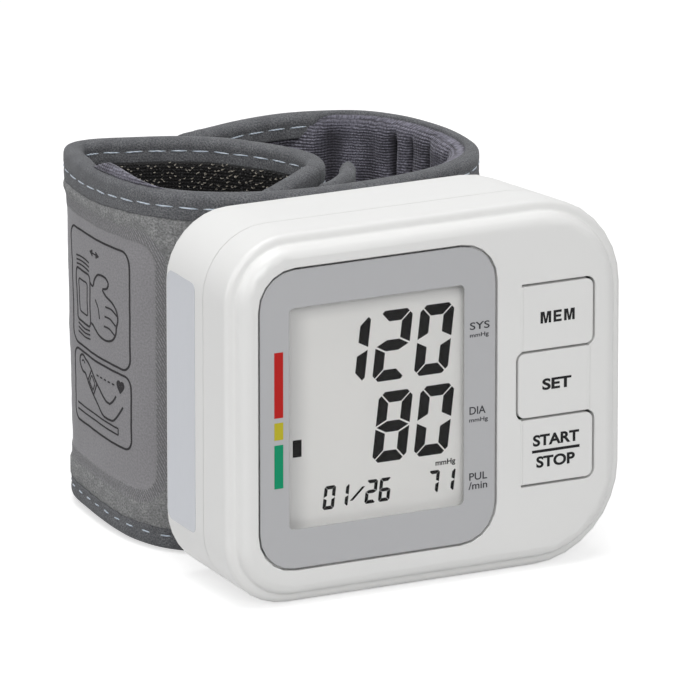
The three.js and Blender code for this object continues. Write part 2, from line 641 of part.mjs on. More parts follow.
// Display stack
function lcdFrame() {
  const outerWidth = LCD_WIDTH + 2 * (CLEARANCE + LCD_FRAME_WALL);
  const outerHeight = LCD_HEIGHT + 2 * (CLEARANCE + LCD_FRAME_WALL);
  const back = BOARD_FRONT - CLEARANCE;
  const block = solid(centredPlate(LENS_X, LENS_Z, outerWidth, outerHeight, LCD_FRAME_WALL, LCD_FRONT, back));
  const room = solid(centredPlate(
    LENS_X, LENS_Z, LCD_WIDTH + 2 * CLEARANCE, LCD_HEIGHT + 2 * CLEARANCE, CLEARANCE,
    LCD_FRONT - CUT_MARGIN, back + CUT_MARGIN,
  ));
  const ledgeFront = LCD_BACK + CLEARANCE;
  const ledges = [-1, 1].map((side) => {
    const edge = LENS_X + side * (LCD_WIDTH / 2 + CLEARANCE + LCD_FRAME_WALL / 2);
    const inward = edge - side * (LCD_LEDGE + LCD_FRAME_WALL / 2);
    const half = LCD_HEIGHT / 2;
    return solid(box(
      Math.min(edge, inward), Math.max(edge, inward), ledgeFront, ledgeFront + LCD_LEDGE_THICKNESS,
      LENS_Z - half, LENS_Z + half,
    ));
  });
  return unite(cut(block, room), ...ledges);
}

function zebraStrip() {
  const z0 = LENS_Z - LCD_HEIGHT / 2;
  return box(
    LENS_X - LCD_WIDTH / 2 + ZEBRA_END, LENS_X + LCD_WIDTH / 2 - ZEBRA_END,
    LCD_BACK + CLEARANCE, LCD_BACK + CLEARANCE + ZEBRA_HEIGHT, z0, z0 + ZEBRA_WIDTH,
  );
}

function mainBoard() {
  const slab = solid(housingLoft([[BOARD_FRONT, BOARD_INSET], [BOARD_BACK, BOARD_INSET]]));
  const holes = screwPlaces.map(([x, z]) => (
    solid(rod(SCREW_RADIUS + CLEARANCE, BOARD_THICKNESS + 2 * CUT_MARGIN, 'y', x, BOARD_FRONT - CUT_MARGIN, z))
  ));
  return cut(slab, ...holes);
}

// Switches and buttons
const SWITCH_BACK = BOARD_FRONT - CLEARANCE;
const SWITCH_FRONT = SWITCH_BACK - SWITCH_HEIGHT;
const PLUNGER_FRONT = SWITCH_FRONT - PLUNGER_PROUD;

function switchBody(button) {
  const half = SWITCH_SIZE / 2;
  const block = solid(box(
    button.switchX - half, button.switchX + half, SWITCH_FRONT, SWITCH_BACK,
    button.switchZ - half, button.switchZ + half,
  ));
  const depth = PLUNGER_DEPTH + PLUNGER_TRAVEL + CLEARANCE;
  const hole = rod(
    PLUNGER_RADIUS + CLEARANCE, depth + CUT_MARGIN, 'y',
    button.switchX, SWITCH_FRONT - CUT_MARGIN, button.switchZ,
  );
  return cut(block, solid(hole));
}

function plunger(button) {
  const length = PLUNGER_PROUD + PLUNGER_DEPTH;
  return rod(PLUNGER_RADIUS, length, 'y', button.switchX, PLUNGER_FRONT, button.switchZ);
}

function buttonFlap(button) {
  const face = solid(flap(button, 0, 0, 0, BUTTON_THICKNESS));
  const ribStart = BUTTON_THICKNESS / 2;
  const ribEnd = PLUNGER_FRONT - CLEARANCE;
  return face.add(solid(rod(RIB_RADIUS, ribEnd - ribStart, 'y', button.switchX, ribStart, button.switchZ)));
}

// Case screw with a domed head, its shaft pointing to the front
function caseScrew(x, z) {
  const seat = SHOULDER_DEPTH + SHOULDER_THICKNESS + CLEARANCE;
  const tip = BOARD_FRONT - CLEARANCE - SCREW_BITE;
  const profile = [
    [0, 0],
    [SCREW_RADIUS / 2, 0],
    [SCREW_RADIUS, SCREW_RADIUS],
    [SCREW_RADIUS, seat - tip],
    [SCREW_HEAD_RADIUS, seat - tip],
    [SCREW_HEAD_RADIUS, seat - tip + SCREW_HEAD_HEIGHT / 2],
    [SCREW_HEAD_RADIUS / 2, seat - tip + SCREW_HEAD_HEIGHT],
    [0, seat - tip + SCREW_HEAD_HEIGHT],
  ];
  return turned(profile, 'y', x, tip, z);
}

// Cells: the inner one has its nub down, the outer one has it up
function cell(x, bottom, nubUp) {
  const can = CELL_LENGTH - CELL_NUB_HEIGHT;
  const shoulder = CELL_SHOULDER;
  const profile = [
    [0, 0],
    [CELL_RADIUS - shoulder, 0],
    [CELL_RADIUS, shoulder],
    [CELL_RADIUS, can - shoulder],
    [CELL_RADIUS - shoulder, can],
    [CELL_NUB_RADIUS, can],
    [CELL_NUB_RADIUS, CELL_LENGTH],
    [0, CELL_LENGTH],
  ];
  const geometry = turned(profile, 'z', 0, 0, 0);
  if (!nubUp) {
    geometry.rotateX(Math.PI).translate(0, 0, CELL_LENGTH);
  }
  return geometry.translate(x, CELL_Y, bottom);
}

function contactPlate(x0, x1, z) {
  const half = CONTACT_WIDTH / 2;
  return box(x0 - half, x1 + half, CELL_Y - half, CELL_Y + half, z, z + CONTACT_THICKNESS);
}

function circlePoints(radius, sides) {
  return Array.from({ length: sides }, (_, i) => {
    const angle = (2 * Math.PI * i) / sides;
    return new THREE.Vector2(radius * Math.cos(angle), radius * Math.sin(angle));
  });
}

// Coil spring that narrows towards the cell, wound from the plate's side
function coilSpring(x, z0, length, up) {
  const wire = SPRING_WIRE;
  const run = length - 2 * (wire + CLEARANCE);
  const steps = SPRING_TURNS * COIL_STEPS;
  const points = Array.from({ length: steps + 1 }, (_, i) => {
    const share = i / steps;
    const radius = SPRING_RADIUS - SPRING_TAPER * share;
    const angle = 2 * Math.PI * SPRING_TURNS * share;
    const along = wire + CLEARANCE + run * share;
    const z = up ? z0 + along : z0 + length - along;
    return new THREE.Vector3(x + radius * Math.cos(angle), CELL_Y + radius * Math.sin(angle), z);
  });
  const section = new THREE.Shape(circlePoints(wire, WIRE_SIDES));
  const extrudePath = new THREE.CatmullRomCurve3(points);
  return new THREE.ExtrudeGeometry(section, { steps, extrudePath, bevelEnabled: false });
}

// Air parts
function nozzle(axis, sign, x, y, z) {
  const start = sign > 0 ? -NOZZLE_ROOT : -NOZZLE_LENGTH;
  const place = { x: [x + start, y, z], y: [x, y + start, z], z: [x, y, z + start] }[axis];
  return solid(rod(NOZZLE_RADIUS, NOZZLE_LENGTH + NOZZLE_ROOT, axis, ...place));
}

function pumpHead() {
  const block = plate(
    PUMP_X - PUMP_HEAD_WIDTH / 2, PUMP_X + PUMP_HEAD_WIDTH / 2, PUMP_HEAD_BOTTOM, PUMP_HEAD_TOP,
    WALL / 2, MOTOR_Y - PUMP_HEAD_DEPTH / 2, MOTOR_Y + PUMP_HEAD_DEPTH / 2,
  );
  return solid(block).add(nozzle('z', 1, PUMP_X, AIR_Y, PUMP_HEAD_TOP));
}

function releaseValve() {
  const body = solid(rod(VALVE_RADIUS, VALVE_LENGTH, 'z', VALVE_X, AIR_Y, VALVE_BOTTOM));
  return body.add(nozzle('z', 1, VALVE_X, AIR_Y, VALVE_BOTTOM + VALVE_LENGTH));
}

function airManifold() {
  const half = MANIFOLD_SIZE / 2;
  const block = solid(box(
    VALVE_X - half, VALVE_X + half, AIR_Y - half, AIR_Y + half, MANIFOLD_Z - half, MANIFOLD_Z + half,
  ));
  return unite(
    block,
    nozzle('x', -1, VALVE_X - half, AIR_Y, MANIFOLD_Z),
    nozzle('x', 1, VALVE_X + half, AIR_Y, MANIFOLD_Z),
    nozzle('z', -1, VALVE_X, AIR_Y, MANIFOLD_Z - half),
    nozzle('z', 1, VALVE_X, AIR_Y, MANIFOLD_Z + half),
  );
}

function pressureSensor() {
  const front = BOARD_BACK + CLEARANCE;
  const block = solid(box(
    VALVE_X - SENSOR_WIDTH / 2, VALVE_X + SENSOR_WIDTH / 2, front, front + SENSOR_DEPTH,
    SENSOR_BOTTOM, SENSOR_BOTTOM + SENSOR_HEIGHT,
  ));
  return block.add(nozzle('z', -1, VALVE_X, AIR_Y, SENSOR_BOTTOM));
}

// Straight runs joined by one quarter bend in the corner
function bentTube(start, corner, end) {
  const intoCorner = corner.clone().sub(start).normalize();
  const outOfCorner = end.clone().sub(corner).normalize();
  const bendStart = corner.clone().addScaledVector(intoCorner, -TUBE_BEND);
  const bendEnd = corner.clone().addScaledVector(outOfCorner, TUBE_BEND);
  const path = new THREE.CurvePath();
  path.add(new THREE.LineCurve3(start, bendStart));
  path.add(new THREE.QuadraticBezierCurve3(bendStart, corner, bendEnd));
  path.add(new THREE.LineCurve3(bendEnd, end));
  return tubeSolid(path, TUBE_STEPS);
}

function tubeSolid(extrudePath, steps) {
  const section = new THREE.Shape(circlePoints(TUBE_RADIUS, TUBE_SIDES));
  section.holes.push(new THREE.Path(circlePoints(TUBE_BORE, TUBE_SIDES)));
  return new THREE.ExtrudeGeometry(section, { steps, extrudePath, bevelEnabled: false });
}

function straightTube(x, y, z0, z1) {
  return tubeSolid(new THREE.LineCurve3(new THREE.Vector3(x, y, z0), new THREE.Vector3(x, y, z1)), 1);
}

function pumpTube() {
  return bentTube(
    new THREE.Vector3(PUMP_X, AIR_Y, PUMP_HEAD_TOP + CLEARANCE),
    new THREE.Vector3(PUMP_X, AIR_Y, MANIFOLD_Z),
    new THREE.Vector3(VALVE_X - MANIFOLD_SIZE / 2 - CLEARANCE, AIR_Y, MANIFOLD_Z),
  );
}

function cuffTube() {
  return bentTube(
    new THREE.Vector3(VALVE_X + MANIFOLD_SIZE / 2 + CLEARANCE, AIR_Y, MANIFOLD_Z),
    new THREE.Vector3(PORT_X, AIR_Y, MANIFOLD_Z),
    new THREE.Vector3(PORT_X, PORT_BARB_END - CLEARANCE, MANIFOLD_Z),
  );
}

function airPort(stemEnd) {
  const start = PORT_BARB_END - NOZZLE_LENGTH;
  const flange = PORT_BARB_END + PORT_FLANGE - start;
  const profile = [
    [0, 0],
    [NOZZLE_RADIUS, 0],
    [NOZZLE_RADIUS, NOZZLE_LENGTH],
    [PORT_FLANGE_RADIUS, NOZZLE_LENGTH],
    [PORT_FLANGE_RADIUS, flange],
    [PORT_RADIUS, flange],
    [PORT_RADIUS, stemEnd - start],
    [0, stemEnd - start],
  ];
  return turned(profile, 'y', PORT_X, start, MANIFOLD_Z);
}

function portSeal() {
  const start = REAR_INNER - CLEARANCE - SEAL_THICKNESS;
  const profile = ringProfile(PORT_RADIUS + CLEARANCE, PORT_FLANGE_RADIUS, 0, SEAL_THICKNESS);
  return turned(profile, 'y', PORT_X, start, MANIFOLD_Z);
}

// Cuff strip: stations along the plan, each with its outward direction
function behindHousing(plan) {
  return plan.map(([x, back]) => new THREE.Vector3(x, DEPTH + back, 0));
}

const cuffCurve = new THREE.CatmullRomCurve3(behindHousing(CUFF_PLAN), false, 'centripetal');

function stationsOf(curve, t0, t1, steps) {
  return Array.from({ length: steps + 1 }, (_, i) => {
    const t = t0 + (t1 - t0) * (i / steps);
    const point = curve.getPoint(t);
    const tangent = curve.getTangent(t);
    return { x: point.x, y: point.y, nx: tangent.y, ny: -tangent.x };
  });
}

// Plan positions are counted in plan points; the strip has a few stations between two points
function stations(from, to, perPoint = STATIONS_PER_POINT) {
  const last = CUFF_PLAN.length - 1;
  const steps = Math.max(1, Math.round((to - from) * perPoint));
  return stationsOf(cuffCurve, from / last, to / last, steps);
}

// A closed section of [offset outward, height] points carried along the stations
function sweep(row, section) {
  const outline = section.map(([offset, z]) => new THREE.Vector2(offset, z));
  const rings = row.map((station) => outline.map((point) => (
    new THREE.Vector3(station.x + station.nx * point.x, station.y + station.ny * point.x, point.y)
  )));
  return closedLoft(rings, outline);
}

// Layer of cloth that lies flat under the edge tapes and swells out between them
function layerSection(edgeInner, edgeOuter, swell) {
  const low = EDGE_COVER;
  const flat = BINDING_HEIGHT + LAYER_GAP;
  const full = flat + BULGE_REACH;
  const heights = [low, flat, full, CUFF_HEIGHT - full, CUFF_HEIGHT - flat, CUFF_HEIGHT - low];
  const swells = [0, 0, swell, swell, 0, 0];
  const outer = heights.map((z, i) => [edgeOuter + swells[i], z]);
  const inner = heights.map((z, i) => [edgeInner + swells[i], z]);
  return [...outer, ...inner.reverse()];
}

function shellSection(half) {
  const outer = half - EDGE_COVER;
  return layerSection(outer - SHELL_THICKNESS, outer, BULGE);
}

function linerSection(half) {
  const inner = -(half - EDGE_COVER);
  return layerSection(inner, inner + LINER_THICKNESS, -BULGE);
}

// Folded tape over an edge of the strip, open towards the middle of its height
function bindingSection(half, atTop) {
  const inside = half - BINDING_WALL;
  const heights = (list) => list.map(([offset, z]) => [offset, atTop ? CUFF_HEIGHT - z : z]);
  return heights([
    [-half, BINDING_HEIGHT],
    [-half, BINDING_CHAMFER],
    [-half + BINDING_CHAMFER, 0],
    [half - BINDING_CHAMFER, 0],
    [half, BINDING_CHAMFER],
    [half, BINDING_HEIGHT],
    [inside, BINDING_HEIGHT],
    [inside, BINDING_WALL],
    [-inside, BINDING_WALL],
    [-inside, BINDING_HEIGHT],
  ]);
}

function slabSection(inner, outer, margin) {
  return [[inner, margin], [outer, margin], [outer, CUFF_HEIGHT - margin], [inner, CUFF_HEIGHT - margin]];
}

const HALF_SPLIT = SPLIT_GAP / 2 / PLAN_SPACING;
const LAST_POINT = CUFF_PLAN.length - 1;
const tailRow = stations(0, TAIL_SPLIT - HALF_SPLIT);
const centerRow = stations(TAIL_SPLIT + HALF_SPLIT, WING_SPLIT - HALF_SPLIT);
const wingRow = stations(WING_SPLIT + HALF_SPLIT, LAST_POINT);

const BLADDER_INNER = -(CENTER_HALF - EDGE_COVER) - BULGE + LINER_THICKNESS + LAYER_GAP;
const BRACKET_INNER = BLADDER_INNER + BLADDER_THICKNESS + LAYER_GAP;

function planNear(x) {
  const row = stations(TAIL_SPLIT, WING_SPLIT, SEARCH_STATIONS);
  return row.reduce((best, station) => (Math.abs(station.x - x) < Math.abs(best.x - x) ? station : best));
}

const BRACKET_BACK = planNear(PIN_X).y - BRACKET_INNER;

function pins(radius, start) {
  const length = BRACKET_BACK - BRACKET_THICKNESS / 2 - start;
  return PIN_Z.flatMap((z) => [-PIN_X, PIN_X].map((x) => solid(rod(radius, length, 'y', x, start, z))));
}

function portHole() {
  const length = BRACKET_BACK + CUT_MARGIN - REAR_INNER;
  return solid(rod(PORT_RADIUS + CLEARANCE, length, 'y', PORT_X, REAR_INNER, MANIFOLD_Z));
}

function cuffBracket() {
  const section = slabSection(BRACKET_INNER, BRACKET_INNER + BRACKET_THICKNESS, PAD_MARGIN);
  const sheet = solid(sweep(stations(...BRACKET_RANGE), section));
  return unite(cut(sheet, portHole()), ...pins(PIN_RADIUS, REAR_INNER - PIN_REACH));
}

function centerShell() {
  const cloth = solid(sweep(centerRow, shellSection(CENTER_HALF)));
  return cut(cloth, ...pins(PIN_RADIUS + CLEARANCE, REAR_INNER), portHole());
}

function airBladder() {
  const section = slabSection(BLADDER_INNER, BLADDER_INNER + BLADDER_THICKNESS, PAD_MARGIN);
  return sweep(centerRow, section);
}

function hookPatch() {
  const outer = -TAIL_HALF - LAYER_GAP;
  const section = slabSection(outer - HOOK_THICKNESS, outer, BINDING_HEIGHT + CLEARANCE);
  return sweep(stations(...HOOK_RANGE), section);
}

function linerTab() {
  const curve = new THREE.CatmullRomCurve3(behindHousing(TAB_PLAN));
  const top = CUFF_HEIGHT - TAB_DROP;
  const section = [[-TAB_HALF, TAB_RISE], [TAB_HALF, TAB_RISE], [TAB_HALF, top], [-TAB_HALF, top]];
  return sweep(stationsOf(curve, 0, 1, TAB_STEPS), section);
}

const PORT_STEM_END = planNear(PORT_X).y - BLADDER_INNER - BLADDER_THICKNESS - CLEARANCE;
const WING_INNER = -(WING_HALF - EDGE_COVER) - BULGE + LINER_THICKNESS + LAYER_GAP;
const STIFFENER_INNER = WING_INNER + BLADDER_THICKNESS + LAYER_GAP;

// Assembly
const assembly = new THREE.Group();

function addPart(name, shape, material) {
  const geometry = shape.isBufferGeometry ? welded(shape) : geometryOf(shape);
  const mesh = new THREE.Mesh(geometry, material);
  mesh.name = name;
  assembly.add(mesh);
}

addPart('front_cover', frontCover(), WHITE_PLASTIC);
addPart('rear_cover', rearCover(), WHITE_PLASTIC);
addPart('battery_door', batteryDoor(), WHITE_PLASTIC);
addPart('display_lens', centredPlate(
  LENS_X, LENS_Z, LENS_WIDTH, LENS_HEIGHT, LENS_RADIUS, LENS_RECESS, LENS_RECESS + LENS_THICKNESS,
), LENS_PLASTIC);
addPart('lcd_panel', centredPlate(
  LENS_X, LENS_Z, LCD_WIDTH, LCD_HEIGHT, CLEARANCE, LCD_FRONT, LCD_BACK,
), LCD_GLASS);
addPart('lcd_frame', lcdFrame(), DARK_PLASTIC);
addPart('zebra_strip', zebraStrip(), RUBBER);
addPart('main_board', mainBoard(), GREEN_BOARD);

for (const button of buttons) {
  addPart(`${button.name}_button`, buttonFlap(button), WHITE_PLASTIC);
  addPart(`${button.name}_switch`, switchBody(button), DARK_PLASTIC);
  addPart(`${button.name}_plunger`, plunger(button), DARK_PLASTIC);
}

screwPlaces.forEach(([x, z], i) => addPart(`case_screw_${i + 1}`, caseScrew(x, z), STEEL));

addPart('battery_cell_inner', cell(CELL_X, INNER_BOTTOM, false), CELL_WRAP);
addPart('battery_cell_outer', cell(OUTER_X, OUTER_BOTTOM, true), CELL_WRAP);
addPart('contact_bridge', contactPlate(CELL_X, OUTER_X, CONTACT_LOW), STEEL);
addPart('contact_negative', contactPlate(CELL_X, CELL_X, CONTACT_HIGH), STEEL);
addPart('contact_positive', contactPlate(OUTER_X, OUTER_X, CONTACT_HIGH), STEEL);
addPart('spring_bridge', coilSpring(OUTER_X, INNER_BOTTOM - CLEARANCE, SPRING_LENGTH, true), STEEL);
addPart('spring_negative', coilSpring(CELL_X, CONTACT_HIGH - SPRING_LENGTH, SPRING_LENGTH, false), STEEL);

addPart('pump_motor', rod(MOTOR_RADIUS, MOTOR_LENGTH, 'z', PUMP_X, MOTOR_Y, PUMP_BOTTOM), STEEL);
addPart('pump_head', pumpHead(), DARK_PLASTIC);
addPart('release_valve', releaseValve(), DARK_PLASTIC);
addPart('air_manifold', airManifold(), DARK_PLASTIC);
addPart('pressure_sensor', pressureSensor(), DARK_PLASTIC);
addPart('buzzer', rod(
  BUZZER_RADIUS, BUZZER_HEIGHT, 'y', BUZZER_X, BOARD_BACK + CLEARANCE, BUZZER_Z,
), DARK_PLASTIC);
addPart('pump_tube', pumpTube(), SILICONE);
addPart('cuff_tube', cuffTube(), SILICONE);
addPart('valve_tube', straightTube(
  VALVE_X, AIR_Y, VALVE_BOTTOM + VALVE_LENGTH + CLEARANCE, MANIFOLD_Z - MANIFOLD_SIZE / 2 - CLEARANCE,
), SILICONE);
addPart('sensor_tube', straightTube(
  VALVE_X, AIR_Y, MANIFOLD_Z + MANIFOLD_SIZE / 2 + CLEARANCE, SENSOR_BOTTOM - CLEARANCE,
), SILICONE);
addPart('air_port', airPort(PORT_STEM_END), DARK_PLASTIC);
addPart('port_seal', portSeal(), RUBBER);

addPart('cuff_bracket', cuffBracket(), DARK_PLASTIC);
addPart('cuff_center_shell', centerShell(), LOOP_FABRIC);
addPart('cuff_center_liner', sweep(centerRow, linerSection(CENTER_HALF)), KNIT_FABRIC);
addPart('air_bladder', airBladder(), BLADDER_FILM);
addPart('cuff_center_binding_top', sweep(centerRow, bindingSection(CENTER_HALF, true)), BINDING_FABRIC);
addPart('cuff_center_binding_bottom', sweep(centerRow, bindingSection(CENTER_HALF, false)), BINDING_FABRIC);
addPart('liner_tab', linerTab(), BINDING_FABRIC);

addPart('cuff_wing_shell', sweep(wingRow, shellSection(WING_HALF)), LOOP_FABRIC);
addPart('cuff_wing_liner', sweep(wingRow, linerSection(WING_HALF)), KNIT_FABRIC);
addPart('bladder_lobe', sweep(
  stations(...LOBE_RANGE), slabSection(WING_INNER, WING_INNER + BLADDER_THICKNESS, PAD_MARGIN),
), BLADDER_FILM);
addPart('wing_stiffener', sweep(
  stations(...STIFFENER_RANGE), slabSection(STIFFENER_INNER, STIFFENER_INNER + STIFFENER_THICKNESS, PAD_MARGIN),
), DARK_PLASTIC);
addPart('cuff_wing_binding_top', sweep(wingRow, bindingSection(WING_HALF, true)), BINDING_FABRIC);
addPart('cuff_wing_binding_bottom', sweep(wingRow, bindingSection(WING_HALF, false)), BINDING_FABRIC);

addPart('cuff_tail_shell', sweep(tailRow, shellSection(TAIL_HALF)), LOOP_FABRIC);
addPart('cuff_tail_liner', sweep(tailRow, linerSection(TAIL_HALF)), KNIT_FABRIC);
addPart('hook_patch', hookPatch(), HOOK_FABRIC);
addPart('cuff_tail_binding_top', sweep(tailRow, bindingSection(TAIL_HALF, true)), BINDING_FABRIC);
addPart('cuff_tail_binding_bottom', sweep(tailRow, bindingSection(TAIL_HALF, false)), BINDING_FABRIC);

// The origin lies under the middle of the whole monitor, on the surface that it stands on
const bounds = new THREE.Box3().setFromObject(assembly, true);
const middle = bounds.getCenter(new THREE.Vector3());
assembly.position.set(-middle.x, -middle.y, -bounds.min.z);

export default assembly;
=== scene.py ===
"""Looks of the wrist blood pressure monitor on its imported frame: finishes, display, printing and cuff."""

import math

import bmesh
import bpy
import numpy as np
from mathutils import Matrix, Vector, noise
from mathutils.bvhtree import BVHTree


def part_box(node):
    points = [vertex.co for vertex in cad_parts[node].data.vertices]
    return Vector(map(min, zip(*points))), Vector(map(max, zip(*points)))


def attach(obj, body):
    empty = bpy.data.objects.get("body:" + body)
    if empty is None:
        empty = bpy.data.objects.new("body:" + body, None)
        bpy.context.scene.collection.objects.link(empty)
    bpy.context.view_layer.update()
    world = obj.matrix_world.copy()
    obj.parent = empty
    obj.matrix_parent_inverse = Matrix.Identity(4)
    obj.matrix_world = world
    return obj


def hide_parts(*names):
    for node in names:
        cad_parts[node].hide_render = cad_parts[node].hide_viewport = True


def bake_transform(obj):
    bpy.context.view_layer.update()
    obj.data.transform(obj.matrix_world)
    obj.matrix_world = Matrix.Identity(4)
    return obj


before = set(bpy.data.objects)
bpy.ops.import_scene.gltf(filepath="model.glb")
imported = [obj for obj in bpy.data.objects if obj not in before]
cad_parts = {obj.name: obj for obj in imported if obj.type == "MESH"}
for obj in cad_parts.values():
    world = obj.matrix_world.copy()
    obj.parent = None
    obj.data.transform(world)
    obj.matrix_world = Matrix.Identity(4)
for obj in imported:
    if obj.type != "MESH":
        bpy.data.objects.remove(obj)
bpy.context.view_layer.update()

MM = 0.001
rng = np.random.default_rng(11)

# Places read from the frame, in millimetres
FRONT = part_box("front_cover")[0].y / MM
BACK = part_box("rear_cover")[1].y / MM
CUFF_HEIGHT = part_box("cuff_tail_binding_top")[1].z / MM
LCD_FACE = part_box("lcd_panel")[0].y / MM
LENS_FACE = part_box("display_lens")[0].y / MM

# Length of one band of a wave texture at scale 1
WAVE_LENGTH = math.pi / 10


def linked(name, data):
    """A new object in the scene."""
    made = bpy.data.objects.new(name, data)
    bpy.context.scene.collection.objects.link(made)
    return made


class Nodes:
    """A node tree, with short calls for the nodes in it."""

    def __init__(self, tree):
        self.tree = tree

    def feed(self, socket, value):
        """Links a socket to another, or sets its value."""
        if isinstance(value, bpy.types.NodeSocket):
            self.tree.links.new(value, socket)
        elif socket.type == "RGBA":
            socket.default_value = (*value, 1.0)
        else:
            socket.default_value = value

    def node(self, kind, inputs=(), **settings):
        made = self.tree.nodes.new(kind)
        for key, value in settings.items():
            setattr(made, key, value)
        for key, value in dict(inputs).items():
            self.feed(made.inputs[key], value)
        return made

    def math(self, operation, first, second=0.0):
        return self.node("ShaderNodeMath", {0: first, 1: second}, operation=operation).outputs[0]

    def times(self, first, second):
        return self.math("MULTIPLY", first, second)

    def plus(self, first, second):
        return self.math("ADD", first, second)

    def less(self, first, second):
        return self.math("SUBTRACT", first, second)

    def larger(self, first, second):
        return self.math("MAXIMUM", first, second)

    def ramp(self, value, low=0.0, high=1.0, out_low=0.0, out_high=1.0, kind="SMOOTHSTEP"):
        inputs = {"Value": value, "From Min": low, "From Max": high, "To Min": out_low, "To Max": out_high}
        return self.node("ShaderNodeMapRange", inputs, interpolation_type=kind).outputs["Result"]

    def seen(self):
        """1 for rays from the camera, a mirror or glass, and 0 for the rays that carry light."""
        rays = self.node("ShaderNodeLightPath").outputs
        direct = self.larger(rays["Is Camera Ray"], rays["Is Glossy Ray"])
        return self.larger(direct, rays["Is Transmission Ray"])


class Shader(Nodes):
    """A material with a Principled shader, and the textures that feed it."""

    def __init__(self, name, **values):
        self.material = bpy.data.materials.new(name)
        self.material.use_nodes = True
        super().__init__(self.material.node_tree)
        self.bsdf = self.tree.nodes["Principled BSDF"]
        self.set(**values)

    def set(self, **values):
        for key, value in values.items():
            self.feed(self.bsdf.inputs[key.replace("_", " ").title().replace("Ior", "IOR")], value)

    def surface(self, output):
        self.feed(self.tree.nodes["Material Output"].inputs["Surface"], output)

    def blended(self, factor, first, second):
        """A mix of two shaders."""
        return self.node("ShaderNodeMixShader", {0: factor, 1: first, 2: second}).outputs[0]

    def coordinates(self):
        return self.node("ShaderNodeTexCoord").outputs["Object"]

    def place(self):
        """The piece's own coordinates in millimetres."""
        return self.scaled(self.coordinates(), (1 / MM, 1 / MM, 1 / MM))

    def cloth(self):
        """The flat cloth's coordinates in millimetres, along the strip and up, and a third value, such as the
        knit's crease depth for its painted shade or the hooks' glint chance.
        """
        return self.node("ShaderNodeAttribute", attribute_name="cloth").outputs["Vector"]

    def scaled(self, vector, factors):
        return self.node("ShaderNodeVectorMath", {0: vector, 1: factors}, operation="MULTIPLY").outputs[0]

    def split(self, vector):
        return self.node("ShaderNodeSeparateXYZ", {0: vector}).outputs

    def mix(self, factor, first, second):
        return self.node("ShaderNodeMix", {0: factor, 6: first, 7: second}, data_type="RGBA").outputs[2]

    def tones(self, value, low, high, dark, light):
        """A colour that turns from dark to light as a value rises from low to high."""
        return self.mix(self.ramp(value, low, high), dark, light)

    def noise(self, vector, scale, detail=2.0, roughness=0.5):
        inputs = {"Vector": vector, "Scale": scale, "Detail": detail, "Roughness": roughness}
        return self.node("ShaderNodeTexNoise", inputs).outputs[0]

    def bands(self, vector, period, distortion, direction):
        """Even bands with a period in millimetres, from 0 to 1."""
        inputs = {"Vector": vector, "Scale": WAVE_LENGTH / period, "Distortion": distortion, "Detail": 1.0}
        made = self.node("ShaderNodeTexWave", inputs, wave_type="BANDS", bands_direction=direction)
        return made.outputs["Fac"]

    def rounded_edges(self, radius):
        """Normals of edges broken by a small radius in millimetres."""
        return self.node("ShaderNodeBevel", {"Radius": radius * MM}, samples=6).outputs[0]

    def bump(self, height, distance, strength=1.0, rounding=0.0):
        inputs = {"Height": height, "Distance": distance * MM, "Strength": strength}
        if rounding:
            inputs["Normal"] = self.rounded_edges(rounding)
        self.set(normal=self.node("ShaderNodeBump", inputs).outputs[0])

    def rounded_box(self, x, z, centre, size, radius):
        """Distance in millimetres outside a rounded rectangle; negative inside it."""
        dx, dz = (
            self.less(self.math("ABSOLUTE", self.less(value, middle)), length / 2 - radius)
            for value, middle, length in zip((x, z), centre, size)
        )
        out_x, out_z = self.larger(dx, 0.0), self.larger(dz, 0.0)
        far = self.math("SQRT", self.plus(self.times(out_x, out_x), self.times(out_z, out_z)))
        near = self.math("MINIMUM", self.larger(dx, dz), 0.0)
        return self.less(self.plus(far, near), radius)


def moulded_plastic(name, color, roughness, grain=0.003, spread=0.015, rounding=0.0):
    """Moulded plastic: a faint flow variation in colour and gloss, and a fine grain."""
    shader = Shader(name, specular_ior_level=0.5)
    place = shader.place()
    darker = tuple(channel * (1 - 2 * spread) for channel in color)
    shader.set(base_color=shader.mix(shader.noise(place, 0.06, 3.0), darker, color))
    gloss = shader.noise(place, 0.35, 4.0)
    shader.set(roughness=shader.ramp(gloss, 0.25, 0.75, roughness - 0.02, roughness + 0.02))
    shader.bump(shader.noise(place, 5.0), grain, 0.3, rounding)
    return shader


def brushed_metal(name, metallic, color, stretch, scale, detail, roughness, depth):
    """Metal with fine lines along its height."""
    shader = Shader(name, metallic=metallic, base_color=color)
    lines = shader.noise(shader.scaled(shader.place(), (1.0, 1.0, stretch)), scale, detail)
    shader.set(roughness=shader.ramp(lines, 0.2, 0.8, *roughness))
    shader.bump(lines, depth, 0.3)
    return shader


def silicone():
    shader = moulded_plastic("silicone", (0.62, 0.61, 0.56), 0.45, grain=0.02)
    shader.set(subsurface_weight=0.25, subsurface_scale=0.5 * MM, subsurface_radius=(1.0, 0.9, 0.8))
    return shader


def green_board():
    """Solder mask over copper tracks: raised lines, with paler tinned spots."""
    shader = Shader("green_board", roughness=0.38, specular_ior_level=0.5)
    place = shader.place()
    spots = shader.node("ShaderNodeTexVoronoi", {"Vector": place, "Scale": 0.35}).outputs["Distance"]
    pads = shader.ramp(spots, 0.1, 0.13, 1.0, 0.0)
    tracks = shader.ramp(shader.noise(shader.scaled(place, (1.0, 1.0, 0.2)), 0.8, 0.0), 0.49, 0.52)
    mask = shader.mix(tracks, (0.012, 0.085, 0.035), (0.02, 0.14, 0.06))
    shader.set(base_color=shader.mix(pads, mask, (0.5, 0.5, 0.48)), metallic=pads)
    shader.bump(tracks, 0.05)
    return shader


CELL_BAND = (44.0, 44.4)


